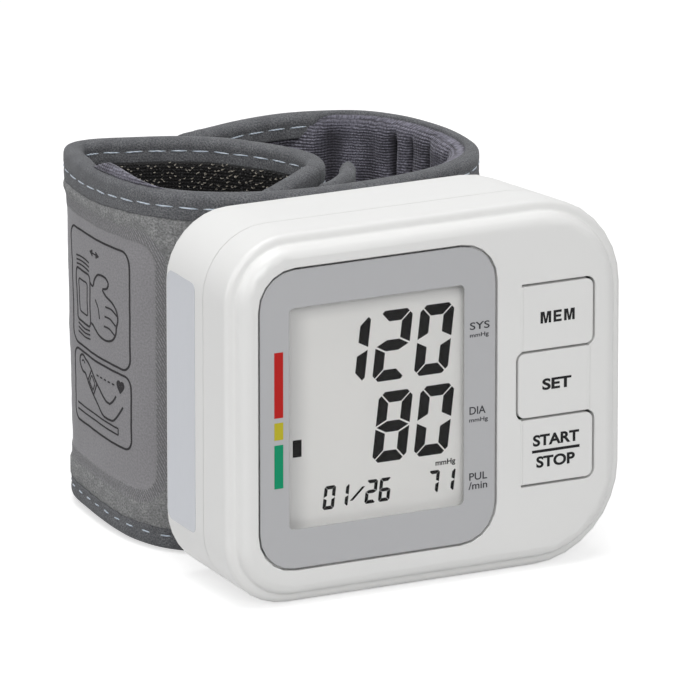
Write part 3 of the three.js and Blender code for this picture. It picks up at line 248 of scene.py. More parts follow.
def cell_wrap():
    """Printed film round a battery cell, with a bare metal band at its positive end."""
    shader = Shader("cell_wrap", coat_weight=0.4, coat_roughness=0.15)
    place = shader.place()
    height = shader.split(place)["Z"]
    waves = shader.noise(place, 0.3)
    film = shader.mix(waves, (0.1, 0.105, 0.115), (0.13, 0.135, 0.145))
    shader.set(base_color=shader.mix(shader.ramp(height, *CELL_BAND), film, (0.5, 0.42, 0.28)))
    shader.set(metallic=shader.ramp(height, *CELL_BAND, 0.2, 0.9))
    shader.set(roughness=shader.ramp(waves, 0.3, 0.7, 0.28, 0.38))
    return shader


# Display: a printed lens with a clear window, the panel behind it and its dark segments
WINDOW_LEFT, WINDOW_RIGHT, WINDOW_LOW, WINDOW_HIGH = -27.8, 6.55, 13.95, 54.0
WINDOW_CENTRE = ((WINDOW_LEFT + WINDOW_RIGHT) / 2, (WINDOW_LOW + WINDOW_HIGH) / 2)
WINDOW_SIZE = (WINDOW_RIGHT - WINDOW_LEFT, WINDOW_HIGH - WINDOW_LOW)
WINDOW_RADIUS = 1.0
WINDOW_EDGE = 0.12
LENS_ROUNDING = 0.3
PRINT_FADE = (LENS_FACE + 0.15, LENS_FACE + 0.35)
# Painted shade along the window's left and upper edges, where the printed border's shadow falls on the panel
PAINTED_SHADE_LEFT = (WINDOW_LEFT + 0.8, WINDOW_LEFT + 5.9)
PAINTED_SHADE_TOP = (WINDOW_HIGH - 3.9, WINDOW_HIGH - 0.2)
# Painted light along the window's right and lower edges, against the shade of the window's walls
PAINTED_LIGHT_RIGHT = (WINDOW_RIGHT - 3.0, WINDOW_RIGHT + 0.4)
PAINTED_LIGHT_FOOT = (WINDOW_LOW - 0.6, WINDOW_LOW + 3.2)


def lens_plastic():
    """Silver-grey print on the face round a clear window."""
    shader = Shader("lens_plastic", roughness=0.12, coat_weight=0.5, coat_roughness=0.04)
    place = shader.place()
    axes = shader.split(place)
    outside = shader.rounded_box(axes["X"], axes["Z"], WINDOW_CENTRE, WINDOW_SIZE, WINDOW_RADIUS)
    on_face = shader.ramp(axes["Y"], *PRINT_FADE, 1.0, 0.0)
    printed_area = shader.times(shader.ramp(outside, -WINDOW_EDGE, WINDOW_EDGE), on_face)
    flakes = shader.noise(place, 14.0)
    shader.set(base_color=shader.mix(flakes, (0.43, 0.433, 0.447), (0.47, 0.473, 0.487)))
    shader.set(normal=shader.rounded_edges(LENS_ROUNDING))
    clear = shader.node("ShaderNodeBsdfTransparent").outputs[0]
    gloss = shader.node("ShaderNodeBsdfGlossy", {"Roughness": 0.05}).outputs[0]
    fresnel = shader.node("ShaderNodeFresnel", {"IOR": 1.14}).outputs[0]
    window = shader.blended(fresnel, clear, gloss)
    shader.surface(shader.blended(printed_area, window, shader.bsdf.outputs[0]))
    return shader


def lcd_glass():
    """Pale grey, faintly cloudy glass, with painted shade along its left and upper edges for the shadow of
    the lens's printed border, and painted light along the others that offsets the shade of the window's
    walls.
    """
    shader = Shader("lcd_glass", roughness=0.35, specular_ior_level=0.3)
    place = shader.place()
    axes = shader.split(place)
    cloud = shader.mix(shader.noise(place, 0.08), (0.865, 0.86, 0.84), (0.9, 0.895, 0.875))
    # Painted light: paler right and lower edges that offset the shade of the window's walls
    right = shader.ramp(axes["X"], *PAINTED_LIGHT_RIGHT)
    foot = shader.ramp(axes["Z"], *PAINTED_LIGHT_FOOT, 1.0, 0.0)
    pale = shader.mix(shader.larger(right, foot), cloud, (1.0, 0.995, 0.975))
    # Painted shade: dimmer left and upper edges, for the shadow of the lens's printed border
    left = shader.ramp(axes["X"], *PAINTED_SHADE_LEFT)
    top = shader.ramp(axes["Z"], *PAINTED_SHADE_TOP, 1.0, 0.0)
    shader.set(base_color=shader.mix(shader.times(left, top), (0.63, 0.629, 0.622), pale))
    shader.bump(shader.noise(place, 9.0, 1.0), 0.004, 0.3)
    return shader


def ink(name, color, roughness=0.45):
    """Printed ink: slightly uneven in colour and gloss."""
    shader = Shader(name, specular_ior_level=0.15)
    cover = shader.noise(shader.place(), 6.0)
    paler = tuple(min(1.0, channel * 1.12 + 0.001) for channel in color)
    shader.set(base_color=shader.mix(cover, color, paler))
    shader.set(roughness=shader.ramp(cover, 0.3, 0.7, roughness - 0.06, roughness + 0.06))
    return shader


white_plastic = moulded_plastic("white_plastic", (0.83, 0.83, 0.82), 0.3, rounding=0.22)
dark_plastic = moulded_plastic("dark_plastic", (0.045, 0.046, 0.05), 0.5, grain=0.03, spread=0.1)
grey_plastic = moulded_plastic("grey_plastic", (0.6, 0.6, 0.59), 0.5, grain=0.03, spread=0.1)
rubber = moulded_plastic("black_rubber", (0.03, 0.03, 0.031), 0.8, grain=0.05, spread=0.1)
steel = brushed_metal("steel", 1.0, (0.62, 0.62, 0.63), 0.15, 6.0, 3.0, (0.22, 0.4), 0.01)
silver_film = brushed_metal("silver_film", 0.5, (0.53, 0.545, 0.58), 0.04, 9.0, 2.0, (0.34, 0.46), 0.004)
black_ink = ink("black_ink", (0.012, 0.012, 0.013))
segment_ink = ink("segment_ink", (0.006, 0.0055, 0.0055), 0.7)
grey_ink = ink("grey_ink", (0.045, 0.045, 0.05))
fabric_ink = ink("fabric_ink", (0.042, 0.04, 0.043), 0.85)

SHARP_ANGLE = math.radians(32)
WELD_DISTANCE = 0.001 * MM
FINISHES = (
    (white_plastic, "front_cover rear_cover battery_door mem_button set_button start_stop_button"),
    (lens_plastic(), "display_lens"),
    (lcd_glass(), "lcd_panel"),
    (grey_plastic, "lcd_frame"),
    (dark_plastic, "mem_switch set_switch start_stop_switch mem_plunger set_plunger start_stop_plunger"),
    (dark_plastic, "pump_head release_valve air_manifold pressure_sensor buzzer air_port cuff_bracket"),
    (dark_plastic, "wing_stiffener"),
    (rubber, "zebra_strip port_seal"),
    (green_board(), "main_board"),
    (silicone(), "pump_tube cuff_tube valve_tube sensor_tube"),
    (steel, "case_screw_1 case_screw_2 case_screw_3 case_screw_4 contact_bridge contact_negative"),
    (steel, "contact_positive spring_bridge spring_negative pump_motor"),
    (cell_wrap(), "battery_cell_inner battery_cell_outer"),
)


def finish(piece, shader):
    """Gives a CAD node its finish, with smooth shading over its rounded edges."""
    piece.data.materials.clear()
    piece.data.materials.append(shader.material)
    piece.data.shade_smooth()
    piece.modifiers.new("joined", "WELD").merge_threshold = WELD_DISTANCE
    piece.modifiers.new("edges", "EDGE_SPLIT").split_angle = SHARP_ANGLE
    piece.modifiers.new("flat_faces", "WEIGHTED_NORMAL").keep_sharp = True


for shader, names in FINISHES:
    for name in names.split():
        finish(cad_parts[name], shader)


# Camera at the photograph's view: direction and distance fitted to the housing's corners
CAMERA_AZIMUTH = math.radians(27.36)
CAMERA_ELEVATION = math.radians(15.79)
CAMERA_DISTANCE = 1910.0
CAMERA_TARGET = Vector((-0.446, FRONT + 30.0, 35.54))
CLIP_START, CLIP_END = 0.05, 20.0
PIXELS_PER_MM = 5.647
PICTURE_WIDTH = 700
SENSOR_WIDTH = 36.0

# A soft overhead box, a wide soft front and a low fill from the left: place and size in metres, and power
LIGHTS = {
    "overhead_box": ((-0.15, -0.12, 1.15), (0.8, 0.8), 7.9),
    "front_box": ((-0.5, -1.5, 0.75), (0.9, 0.7), 9.75),
    "left_box": ((-1.4, 0.15, 0.6), (0.7, 0.7), 2.75),
}
SCENE_CENTRE = Vector((0.0, 0.0, 0.03))
WORLD_LIGHT = 0.28
WORLD_SEEN = 1.0
WHITE_LIGHT = (1.0, 1.0, 1.0)
FLOOR_GLOW = 0.62
FLOOR_COLOR = (0.62, 0.62, 0.62)
FLOOR_NEAR, FLOOR_FAR, FLOOR_REACH = 0.25, 0.6, 6.0
FLOOR_LEVEL = -0.0003


def aimed(name, data, place, direction):
    """A camera or lamp at a place in metres that looks along a direction."""
    made = linked(name, data)
    made.location = place
    made.rotation_mode = "QUATERNION"
    made.rotation_quaternion = direction.to_track_quat("-Z", "Y")
    return made


def make_camera():
    level = math.cos(CAMERA_ELEVATION)
    across, ahead = math.sin(CAMERA_AZIMUTH) * level, math.cos(CAMERA_AZIMUTH) * level
    forward = Vector((across, ahead, -math.sin(CAMERA_ELEVATION)))
    data = bpy.data.cameras.new("camera")
    data.sensor_width = SENSOR_WIDTH
    data.lens = CAMERA_DISTANCE * SENSOR_WIDTH * PIXELS_PER_MM / PICTURE_WIDTH
    data.clip_start, data.clip_end = CLIP_START, CLIP_END
    place = (CAMERA_TARGET - forward * CAMERA_DISTANCE) * MM
    bpy.context.scene.camera = aimed("camera", data, place, forward)


def make_light(name, place, size, power):
    data = bpy.data.lights.new(name, "AREA")
    data.shape = "RECTANGLE"
    data.size, data.size_y = size
    data.energy = power
    aimed(name, data, place, SCENE_CENTRE - Vector(place))


def make_world():
    world = bpy.data.worlds.new("studio")
    world.use_nodes = True
    nodes = Nodes(world.node_tree)
    background = nodes.tree.nodes["Background"].inputs
    nodes.feed(background["Color"], WHITE_LIGHT)
    nodes.feed(background["Strength"], nodes.ramp(nodes.seen(), out_low=WORLD_LIGHT, out_high=WORLD_SEEN))
    bpy.context.scene.world = world


def make_floor():
    """A pale floor that glows a little to the camera, so that it reads white and keeps a soft shadow; far
    from the object it is the plain white of the backdrop."""
    mesh = bpy.data.meshes.new("floor")
    corners = ((-1, -1), (1, -1), (1, 1), (-1, 1))
    mesh.from_pydata([(FLOOR_REACH * x, FLOOR_REACH * y, 0) for x, y in corners], [], [(0, 1, 2, 3)])
    shader = Shader("floor", base_color=FLOOR_COLOR, roughness=0.9, specular_ior_level=0.0)
    seen = shader.seen()
    shader.set(emission_color=WHITE_LIGHT, emission_strength=shader.times(seen, FLOOR_GLOW))
    place = {0: shader.coordinates()}
    distance = shader.node("ShaderNodeVectorMath", place, operation="LENGTH").outputs["Value"]
    far = shader.times(shader.ramp(distance, FLOOR_NEAR, FLOOR_FAR, kind="LINEAR"), seen)
    backdrop = shader.node("ShaderNodeEmission").outputs[0]
    shader.surface(shader.blended(far, shader.bsdf.outputs[0], backdrop))
    mesh.materials.append(shader.material)
    floor = linked("floor", mesh)
    floor.location.z = FLOOR_LEVEL


make_camera()
for name, light in LIGHTS.items():
    make_light(name, *light)
bpy.context.scene.view_settings.view_transform = "Standard"
make_world()
make_floor()


# Meshes
def face_outward(mesh):
    """Turns the faces of a closed mesh outward."""
    work = bmesh.new()
    work.from_mesh(mesh)
    bmesh.ops.recalc_face_normals(work, faces=work.faces)
    work.to_mesh(mesh)
    work.free()


def mesh_piece(name, points, faces, shader, cloth, smooth=True):
    """A new piece from points in millimetres; cloth holds the flat coordinates of each point."""
    mesh = bpy.data.meshes.new(name)
    mesh.from_pydata((np.asarray(points, float) * MM).tolist(), [], faces)
    mesh.materials.append(shader.material)
    attribute = mesh.attributes.new("cloth", "FLOAT_VECTOR", "POINT")
    attribute.data.foreach_set("vector", np.asarray(cloth, np.float32).ravel())
    mesh.validate()
    piece = linked(name, mesh)
    face_outward(mesh)
    if smooth:
        mesh.shade_smooth()
    return piece


def ring_faces(rings, sides, start=0):
    """Quads between rings of points, with a cap on each end."""
    faces = []
    for ring in range(rings - 1):
        for side in range(sides):
            a = start + ring * sides + side
            b = start + ring * sides + (side + 1) % sides
            faces.append((a, b, b + sides, a + sides))
    last = start + (rings - 1) * sides
    return [*faces, tuple(range(start + sides - 1, start - 1, -1)), tuple(range(last, last + sides))]


class Batch:
    """Collects many small closed tubes into one piece."""

    def __init__(self):
        self.points, self.faces, self.cloth = [], [], []

    def add(self, rings, cloth=(0.0, 0.0, 0.0)):
        sides = len(rings[0])
        self.faces += ring_faces(len(rings), sides, len(self.points))
        for ring in rings:
            self.points += [tuple(point) for point in ring]
            self.cloth += [cloth] * sides

    def piece(self, name, shader, smooth=True):
        return mesh_piece(name, self.points, self.faces, shader, self.cloth, smooth)


def ride(piece, body):
    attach(piece, body)
    return piece


PRINT_THICKNESS = 0.04


def printed(name, outlines, face, shader, body):
    """Flat outlines in X and Z as thin closed plates that stand on the plane Y = face."""
    batch = Batch()
    for outline in outlines:
        batch.add([[(x, y, z) for x, z in outline] for y in (face - PRINT_THICKNESS, face)])
    ride(batch.piece(name, shader, smooth=False), body)


def rectangle(x0, x1, z0, z1):
    return [(x0, z0), (x1, z0), (x1, z1), (x0, z1)]


# Segments of the display's figures
SLANT = 0.119
MITRE_TIP = 0.03
CORNER_CUT = 0.55
DIAGONAL = math.sqrt(0.5)
SEGMENTS_OF = {"0": "abcdef", "1": "bc", "2": "abged", "6": "afgedc", "7": "abc", "8": "abcdefg"}
BIG_FIGURE = dict(width=6.9, height=12.9, bar=2.22, gap=0.24)
SMALL_FIGURE = dict(width=2.28, height=4.32, bar=0.68, gap=0.05)
BIG_COLUMN, BIG_PITCH = 1.78, 8.2
BIG_ROWS = ((44.2, "021"), (29.5, "08"))
SMALL_ROW = 18.12
SMALL_GROUPS = ((-18.87, 2.68, "01"), (-10.62, 2.68, "26"), (1.65, 3.1, "71"))
SLASH = [(-14.85, 16.95), (-14.25, 16.95), (-11.8, 19.25), (-12.4, 19.25)]
LEVEL_MARK = rectangle(-26.0, -24.3, 26.3, 29.4)


def clipped(polygon, normal, limit):
    """The part of a convex polygon where the point's share of normal stays under limit."""
    kept = []
    for a, b in zip(polygon, polygon[1:] + polygon[:1]):
        da = a[0] * normal[0] + a[1] * normal[1] - limit
        db = b[0] * normal[0] + b[1] * normal[1] - limit
        if da <= 0:
            kept.append(a)
        if da * db < 0:
            t = da / (da - db)
            kept.append((a[0] + t * (b[0] - a[0]), a[1] + t * (b[1] - a[1])))
    return kept


def shrunk(polygon, inset):
    """A convex polygon with each side moved inward."""
    centre = np.mean(polygon, axis=0)
    kept = list(polygon)
    for a, b in zip(polygon, polygon[1:] + polygon[:1]):
        normal = np.array((b[1] - a[1], a[0] - b[0]))
        length = np.linalg.norm(normal)
        if length < 1e-6:
            continue
        normal = normal / length
        if normal @ (centre - np.array(a)) > 0:
            normal = -normal
        kept = clipped(kept, normal, normal @ np.array(a) - inset)
    return kept


def mirrored(polygon, sx, sz):
    return [(sx * x, sz * z) for x, z in polygon]


def digit_segments(width, height, bar):
    """The seven segment outlines of a figure round the origin: mitred bars with cut outer corners."""
    w, h, half = width / 2, height / 2, bar / 2
    tip = MITRE_TIP * bar
    top = [(-w, h), (w, h), (w - bar, h - bar), (bar - w, h - bar)]
    right = [(w, h), (w, tip), (w - bar, half + tip), (w - bar, h - bar)]
    upper = [(tip - w, 0), (bar - w, half), (w - bar, half)]
    middle = upper + mirrored(upper, -1, -1)
    shapes = {
        "a": top, "b": right, "c": mirrored(right, 1, -1), "d": mirrored(top, 1, -1),
        "e": mirrored(right, -1, -1), "f": mirrored(right, -1, 1), "g": middle,
    }
    corner = (w + h - CORNER_CUT * bar) * DIAGONAL
    for name, polygon in shapes.items():
        for sx in (-DIAGONAL, DIAGONAL):
            for sz in (-DIAGONAL, DIAGONAL):
                polygon = clipped(polygon, (sx, sz), corner)
        shapes[name] = polygon
    return shapes


def figure(digit, x, z, width, height, bar, gap):
    """Slanted segment outlines of one figure round a centre."""
    segments = digit_segments(width, height, bar)
    outlines = [shrunk(segments[name], gap / 2) for name in SEGMENTS_OF[digit]]
    return [[(x + px + SLANT * pz, z + pz) for px, pz in outline] for outline in outlines]


figures = []
for row, digits in BIG_ROWS:
    for i, digit in enumerate(digits):
        figures += figure(digit, BIG_COLUMN - i * BIG_PITCH, row, **BIG_FIGURE)
for start, pitch, digits in SMALL_GROUPS:
    for i, digit in enumerate(digits):
        figures += figure(digit, start + i * pitch, SMALL_ROW, **SMALL_FIGURE)
printed("lcd_figures", [*figures, SLASH, LEVEL_MARK], LCD_FACE, segment_ink, "housing")


# Printed words, as thin solids that stand on their face
def words(name, text, centre, size, face, shader, body, slot, weight):
    """Text whose outline fills size (width, height) round centre (X, Z) on the plane Y = face."""
    curve = bpy.data.curves.new(name, "FONT")
    curve.body = text
    curve.offset = weight
    curve.extrude = PRINT_THICKNESS / 2
    curve.resolution_u = 6
    scratch = linked(name + "_text", curve)
    bpy.context.view_layer.update()
    mesh = bpy.data.meshes.new_from_object(scratch.evaluated_get(bpy.context.evaluated_depsgraph_get()))
    bpy.data.objects.remove(scratch)
    points = np.array([vertex.co for vertex in mesh.vertices])
    low, high = points.min(0), points.max(0)
    flat = (points - (low + high) / 2) / np.maximum(high - low, 1e-9)
    placed = np.stack([
        centre[0] + flat[:, 0] * size[0],
        face - PRINT_THICKNESS / 2 + flat[:, 2] * PRINT_THICKNESS,
        centre[1] + flat[:, 1] * size[1],
    ], axis=1)
    mesh.vertices.foreach_set("co", (placed * MM).astype(np.float32).ravel())
    mesh.name = name
    mesh.materials.clear()
    mesh.materials.append(shader.material)
    mesh.update()
    face_outward(mesh)
    ride(linked(name, mesh), body)


CAP = 2.1
STEM = 0.49
ARM = 0.42
M_WIDTH, E_WIDTH, LETTER_SPACE = 2.1, 1.6, 0.5
MEM_CENTRE = (25.05, 46.05)
BOLD, MEDIUM, THIN = 0.034, 0.02, 0.01
BUTTON_WORDS = {
    "set": ("SET", (24.96, 33.82), 5.8, "set_button"),
    "start": ("START", (24.86, 23.69), 9.2, "start_stop_button"),
    "stop": ("STOP", (24.79, 19.71), 7.7, "start_stop_button"),
}
SIDE_WORDS = {
    "sys": ("SYS", (9.64, 46.25), (3.9, 1.35)), "sys_unit": ("mmHg", (9.55, 44.47), (3.7, 1.0)),
    "dia": ("DIA", (9.25, 30.86), (3.2, 1.4)), "dia_unit": ("mmHg", (9.45, 29.03), (3.7, 1.0)),
    "pul": ("PUL", (9.42, 18.8), (3.55, 1.35)), "pul_unit": ("/min", (9.36, 17.14), (3.7, 1.35)),
}
BAR_LEFT, BAR_RIGHT = -30.7, -28.97
BARS = {
    "red": (34.55, 46.36, (0.47, 0.014, 0.012)),
    "yellow": (30.58, 33.68, (0.5, 0.44, 0.027)),
    "green": (21.78, 29.66, (0.004, 0.27, 0.13)),
}


def letter_m(x, z):
    """A bold M from its lower left corner."""
    middle = M_WIDTH / 2
    half = [(0, 0), (0, CAP), (1.55 * STEM, CAP), (middle, 0.3 * CAP)]
    inner = [(middle - 0.45 * STEM, 0), (STEM, 0.74 * CAP), (STEM, 0)]
    outline = half + [(M_WIDTH - a, b) for a, b in half[-2::-1] + inner[::-1]] + inner
    return [(x + a, z + b) for a, b in outline]


def letter_e(x, z):
    """A bold E from its lower left corner."""
    upper = [(0, CAP), (E_WIDTH, CAP), (E_WIDTH, CAP - ARM), (STEM, CAP - ARM), (STEM, (CAP + ARM) / 2)]
    upper.append((0.92 * E_WIDTH, (CAP + ARM) / 2))
    outline = upper + [(a, CAP - b) for a, b in upper[::-1]]
    return [(x + a, z + b) for a, b in outline]


mem_left = MEM_CENTRE[0] - M_WIDTH - LETTER_SPACE - E_WIDTH / 2
mem_low = MEM_CENTRE[1] - CAP / 2
e_left = mem_left + M_WIDTH + LETTER_SPACE
last_left = e_left + E_WIDTH + LETTER_SPACE
mem_letters = [letter_m(mem_left, mem_low), letter_e(e_left, mem_low), letter_m(last_left, mem_low)]
printed("mem_words", mem_letters, FRONT, black_ink, "mem_button")
for name, (text, centre, width, body) in BUTTON_WORDS.items():
    words(name + "_words", text, centre, (width, CAP), FRONT, black_ink, body, "white_plastic", BOLD)
for name, (text, centre, size) in SIDE_WORDS.items():
    words(name + "_words", text, centre, size, LENS_FACE, grey_ink, "housing", "lens_plastic", THIN)
on_lcd = (LCD_FACE, segment_ink, "housing", "lcd_glass")
words("lcd_unit_words", "mmHg", (4.05, 21.42), (3.9, 1.3), *on_lcd, MEDIUM)
word_rule = rectangle(20.08, 29.58, 21.45, 21.96)
printed("start_stop_bar", [word_rule], FRONT, black_ink, "start_stop_button")
for name, (low, high, color) in BARS.items():
    bar = rectangle(BAR_LEFT, BAR_RIGHT, low, high)
    printed(name + "_bar", [bar], LENS_FACE, ink(name + "_ink", color), "housing")


# Living hinges: a thin strip that closes the face over each button's carried side
WEB_GAP = 0.12
WEB_LAP = 0.2
WEB_PROUD = 0.004
WEB_COLUMNS = 6


def living_hinge(button, out):
    """A button's hinge; out is -1 where the button hangs on its left side and 1 on its right."""
    low, high = (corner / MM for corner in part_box(button))
    edge = low.x if out < 0 else high.x
    section = rectangle(FRONT - WEB_PROUD, FRONT + WEB_GAP, low.z, high.z)
    columns = np.linspace(edge - out * WEB_LAP, edge + out * (WEB_GAP + WEB_LAP), WEB_COLUMNS)
    batch = Batch()
    batch.add([[(x, y, z) for y, z in section] for x in columns])
    piece = batch.piece(button + "_web", white_plastic, smooth=False)
    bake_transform(piece)


for button, out in (("mem_button", -1), ("set_button", 1), ("start_stop_button", -1)):
    living_hinge(button, out)


# Bare plate on the housing's left wall
PLATE_FRONT, PLATE_BACK = FRONT + 15.3, FRONT + 27.2
PLATE_LOW, PLATE_HIGH = 10.6, 55.9
PLATE_RADIUS = 1.6
PLATE_PROUD = 0.1
PLATE_ROUNDING = 0.03
PLATE_RINGS = (0.05, 0.4, 0.65, 0.75, 0.83, 0.9, 0.95, 0.98, 1.0)
RAY_START = -80.0


def rounded_outline(low, high, radius, corner_steps=6):
    """Points round a rounded rectangle between two corners, from the side of its high first axis."""
    points = []
    for turn, (sx, sz) in enumerate(((1, 1), (-1, 1), (-1, -1), (1, -1))):
        cx = (high if sx > 0 else low)[0] - sx * radius
        cz = (high if sz > 0 else low)[1] - sz * radius
        for step in range(corner_steps + 1):
            angle = math.pi / 2 * (turn + step / corner_steps)
            points.append((cx + radius * math.cos(angle), cz + radius * math.sin(angle)))
    return points


def side_plate():
    depsgraph = bpy.context.evaluated_depsgraph_get()
    covers = [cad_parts[name] for name in ("rear_cover", "front_cover")]
    walls = [(cover.matrix_world, BVHTree.FromObject(cover, depsgraph)) for cover in covers]

    def wall_x(y, z):
        """Where the left wall lies at a depth and a height."""
        hits = []
        for world, tree in walls:
            inverse = world.inverted()
            origin = inverse @ (Vector((RAY_START, y, z)) * MM)
            hit = tree.ray_cast(origin, inverse.to_3x3() @ Vector((1.0, 0.0, 0.0)))[0]
            if hit is not None:
                hits.append((world @ hit).x / MM)
        return min(hits)

    outline = np.array(rounded_outline((PLATE_FRONT, PLATE_LOW), (PLATE_BACK, PLATE_HIGH), PLATE_RADIUS))
    middle = np.array((PLATE_FRONT + PLATE_BACK, PLATE_LOW + PLATE_HIGH)) / 2
    rings = []
    for lift, shares in ((PLATE_PROUD, PLATE_RINGS), (-PLATE_PROUD, PLATE_RINGS[::-1])):
        for share in shares:
            lowered = PLATE_ROUNDING if share == 1.0 and lift > 0 else 0.0
            ring = middle + share * (outline - middle)
            rings.append([(wall_x(y, z) - lift + lowered, y, z) for y, z in ring])
    batch = Batch()
    batch.add(rings)
    ride(batch.piece("side_plate", silver_film, smooth=False), "housing")


side_plate()


# Lines and slopes of the cloth
def joined(*values):
    """Arrays spread to one shape and put side by side on a last axis."""
    return np.stack(np.broadcast_arrays(*values), axis=-1)


def arc_lengths(points):
    """Lengths along lines of points, from 0."""
    spans = np.linalg.norm(np.diff(points, axis=-2), axis=-1)
    return np.concatenate([np.zeros((*spans.shape[:-1], 1)), np.cumsum(spans, axis=-1)], axis=-1)


def spline(points, steps, power=0.0):
    """A smooth line through points, with knots spaced by a power of the spans: 0 is even, 0.5 centripetal."""
    points = np.array(points, float)
    ends = np.vstack([2 * points[0] - points[1], points, 2 * points[-1] - points[-2]])
    w = (np.arange(steps) / steps)[:, None]
    parts = []
    for p0, p1, p2, p3 in zip(ends, ends[1:], ends[2:], ends[3:]):
        d0, d1, d2 = (np.linalg.norm(b - a) ** power for a, b in ((p0, p1), (p1, p2), (p2, p3)))
        t1 = ((p1 - p0) / d0 - (p2 - p0) / (d0 + d1) + (p2 - p1) / d1) * d1
        t2 = ((p2 - p1) / d1 - (p3 - p1) / (d1 + d2) + (p3 - p2) / d2) * d1
        bent = (3 * (p2 - p1) - 2 * t1 - t2) * w ** 2 + (2 * (p1 - p2) + t1 + t2) * w ** 3
        parts.append(p1 + t1 * w + bent)
    return np.vstack([*parts, points[-1:]])


def smooth(value, low, high):
    t = np.clip((np.asarray(value, float) - low) / (high - low), 0.0, 1.0)
    return t * t * (3 - 2 * t)


def bump_between(value, rise_low, rise_high, fall_low, fall_high):
    """1 between the two slopes and 0 outside them."""
    return smooth(value, rise_low, rise_high) * (1 - smooth(value, fall_low, fall_high))


def between(first, second, share):
    return first + (second - first) * share


def bell(value, width):
    return np.exp(-((value / width) ** 2))


def quarter_round(value, least=0.0):
    """Height of a quarter circle over a share of its reach."""
    return np.maximum(np.sqrt(1 - (1 - np.clip(value, 0.0, 1.0)) ** 2), least)


def gathered(count, ease):
    """Shares from 0 to 1 that lie closer together toward both ends."""
    even = np.linspace(0, 1, count)
    return between(even, 0.5 - 0.5 * np.cos(math.pi * even), ease)


def lengths(start, end, step):
    count = max(2, int(round(abs(end - start) / step)) + 1)
    return np.linspace(start, end, count)


def waves(s, z, *kinds):
    """Soft waves over the flat cloth: smooth noises, each with a height, a size in millimetres and a seed."""
    s, z = np.broadcast_arrays(np.asarray(s, float), np.asarray(z, float))
    total = np.zeros(s.shape)
    for height, size, seed in kinds:
        values = [noise.noise((a / size, b / size, seed)) for a, b in zip(s.ravel(), z.ravel())]
        total += height * np.array(values).reshape(s.shape)
    return total


# Cuff: cloth layers swept along the strip's plan, X and distance behind the housing, from the tail's tip,
# round the left, along the housing's back and round the right to the free end
CUFF_PLAN = [
    (-15.5, 9.2), (-9.5, 11.6), (-3.6, 14.4), (1.2, 18.6), (2.5, 24.2), (0.7, 30.2), (-2.8, 36.2),
    (-6.8, 41.8), (-12.4, 46.3), (-20.8, 50.2), (-26.5, 52), (-30.3, 51.3), (-32.4, 47.5), (-34, 37),
    (-34.2, 27), (-32.8, 18.8), (-29.4, 12.4), (-23.5, 7.6), (-15, 4), (-7, 2.7), (2, 2.6), (11, 3.6),
    (20.3, 6.4), (26.8, 10.8), (30.7, 16.4), (32.1, 23.6), (31.7, 32), (29.1, 40.6), (24.4, 46.8),
    (17.3, 50), (9.5, 51.4), (2, 51.6), (-5, 50.6), (-9.5, 49.4),
]
TAB_PLAN = [(-4, 5.9), (0.6, 8.8), (4.6, 13.2), (7.4, 18)]
PLAN_STEPS = 40
CENTRIPETAL = 0.5
STEP = 0.75


class Path:
    """A smooth curve through plan points, measured by its length in millimetres from a start value."""

    def __init__(self, plan, start=0.0):
        self.points = spline([(x, BACK + back) for x, back in plan], PLAN_STEPS, CENTRIPETAL)
        self.arc = start + arc_lengths(self.points)
        self.knots = self.arc[::PLAN_STEPS]
        self.start, self.end = self.arc[0], self.arc[-1]
        tangents = np.gradient(self.points, self.arc, axis=0)
        self.tangents = tangents / np.linalg.norm(tangents, axis=1)[:, None]

    def at_knot(self, position):
        """Length along the path at a position counted in plan points."""
        return float(np.interp(position, np.arange(len(self.knots)), self.knots))

    def place(self, s, offset):
        """Plan points at lengths s, also a little past the ends, moved outward from the strip's middle."""
        inside = np.clip(s, self.start, self.end)
        x, y = (np.interp(inside, self.arc, self.points[:, k]) for k in (0, 1))
        tx, ty = (np.interp(inside, self.arc, self.tangents[:, k]) for k in (0, 1))
        size = np.hypot(tx, ty)
        past = s - inside
        return x + (offset * ty + past * tx) / size, y + (past * ty - offset * tx) / size


TIP_START = 4.54
strip = Path(CUFF_PLAN, TIP_START)
SEAM = strip.at_knot(20)
TAIL_CUT = strip.at_knot(2.5)
WING_START = strip.at_knot(23)
LEFT_BEND = strip.at_knot(12)
SIDE_END = strip.at_knot(16)
SAG_START = strip.at_knot(29.5)

# How far edges of the strip hang from level: the free end, the tucked tip and the left bend
WING_SAG = 1.0
TIP_SAG, TIP_SAG_START = 2.2, TIP_START - 2
BEND_SAG = 0.45
BEND_LIFT = 0.6
BEND_LEAN = 1.2
BEND_SPAN = (40.0, LEFT_BEND - 8, LEFT_BEND + 8, SIDE_END)

# Thickness of the strip, as half of what lies between its faces
HALF_AT = [strip.at_knot(k) for k in (15, 17, 22, 24)]
HALF_VALUES = [1.575, 1.975, 1.975, 1.775]
SHELL_THICKNESS = 0.7
LINER_THICKNESS = 0.5
LAYER_END = 1.3
LAYER_ROWS, LAYER_EASE = 72, 0.5

# Pressed panel on the outside, in lengths along the strip and heights, with its hatched border
PANEL_LEFT, PANEL_RIGHT = 58.0, 113.6
PANEL_LOW, PANEL_HIGH = 10.0, 55.7
PANEL_RADIUS = 4.0
HATCH_WIDTH = 2.2
HATCH_PITCH = 0.5
HATCH_ANGLE = math.radians(-32)
PANEL_CENTRE = ((PANEL_LEFT + PANEL_RIGHT) / 2, (PANEL_LOW + PANEL_HIGH) / 2)
PANEL_SIZE = (PANEL_RIGHT - PANEL_LEFT, PANEL_HIGH - PANEL_LOW)


def half_at(s):
    return np.interp(s, HALF_AT, HALF_VALUES)


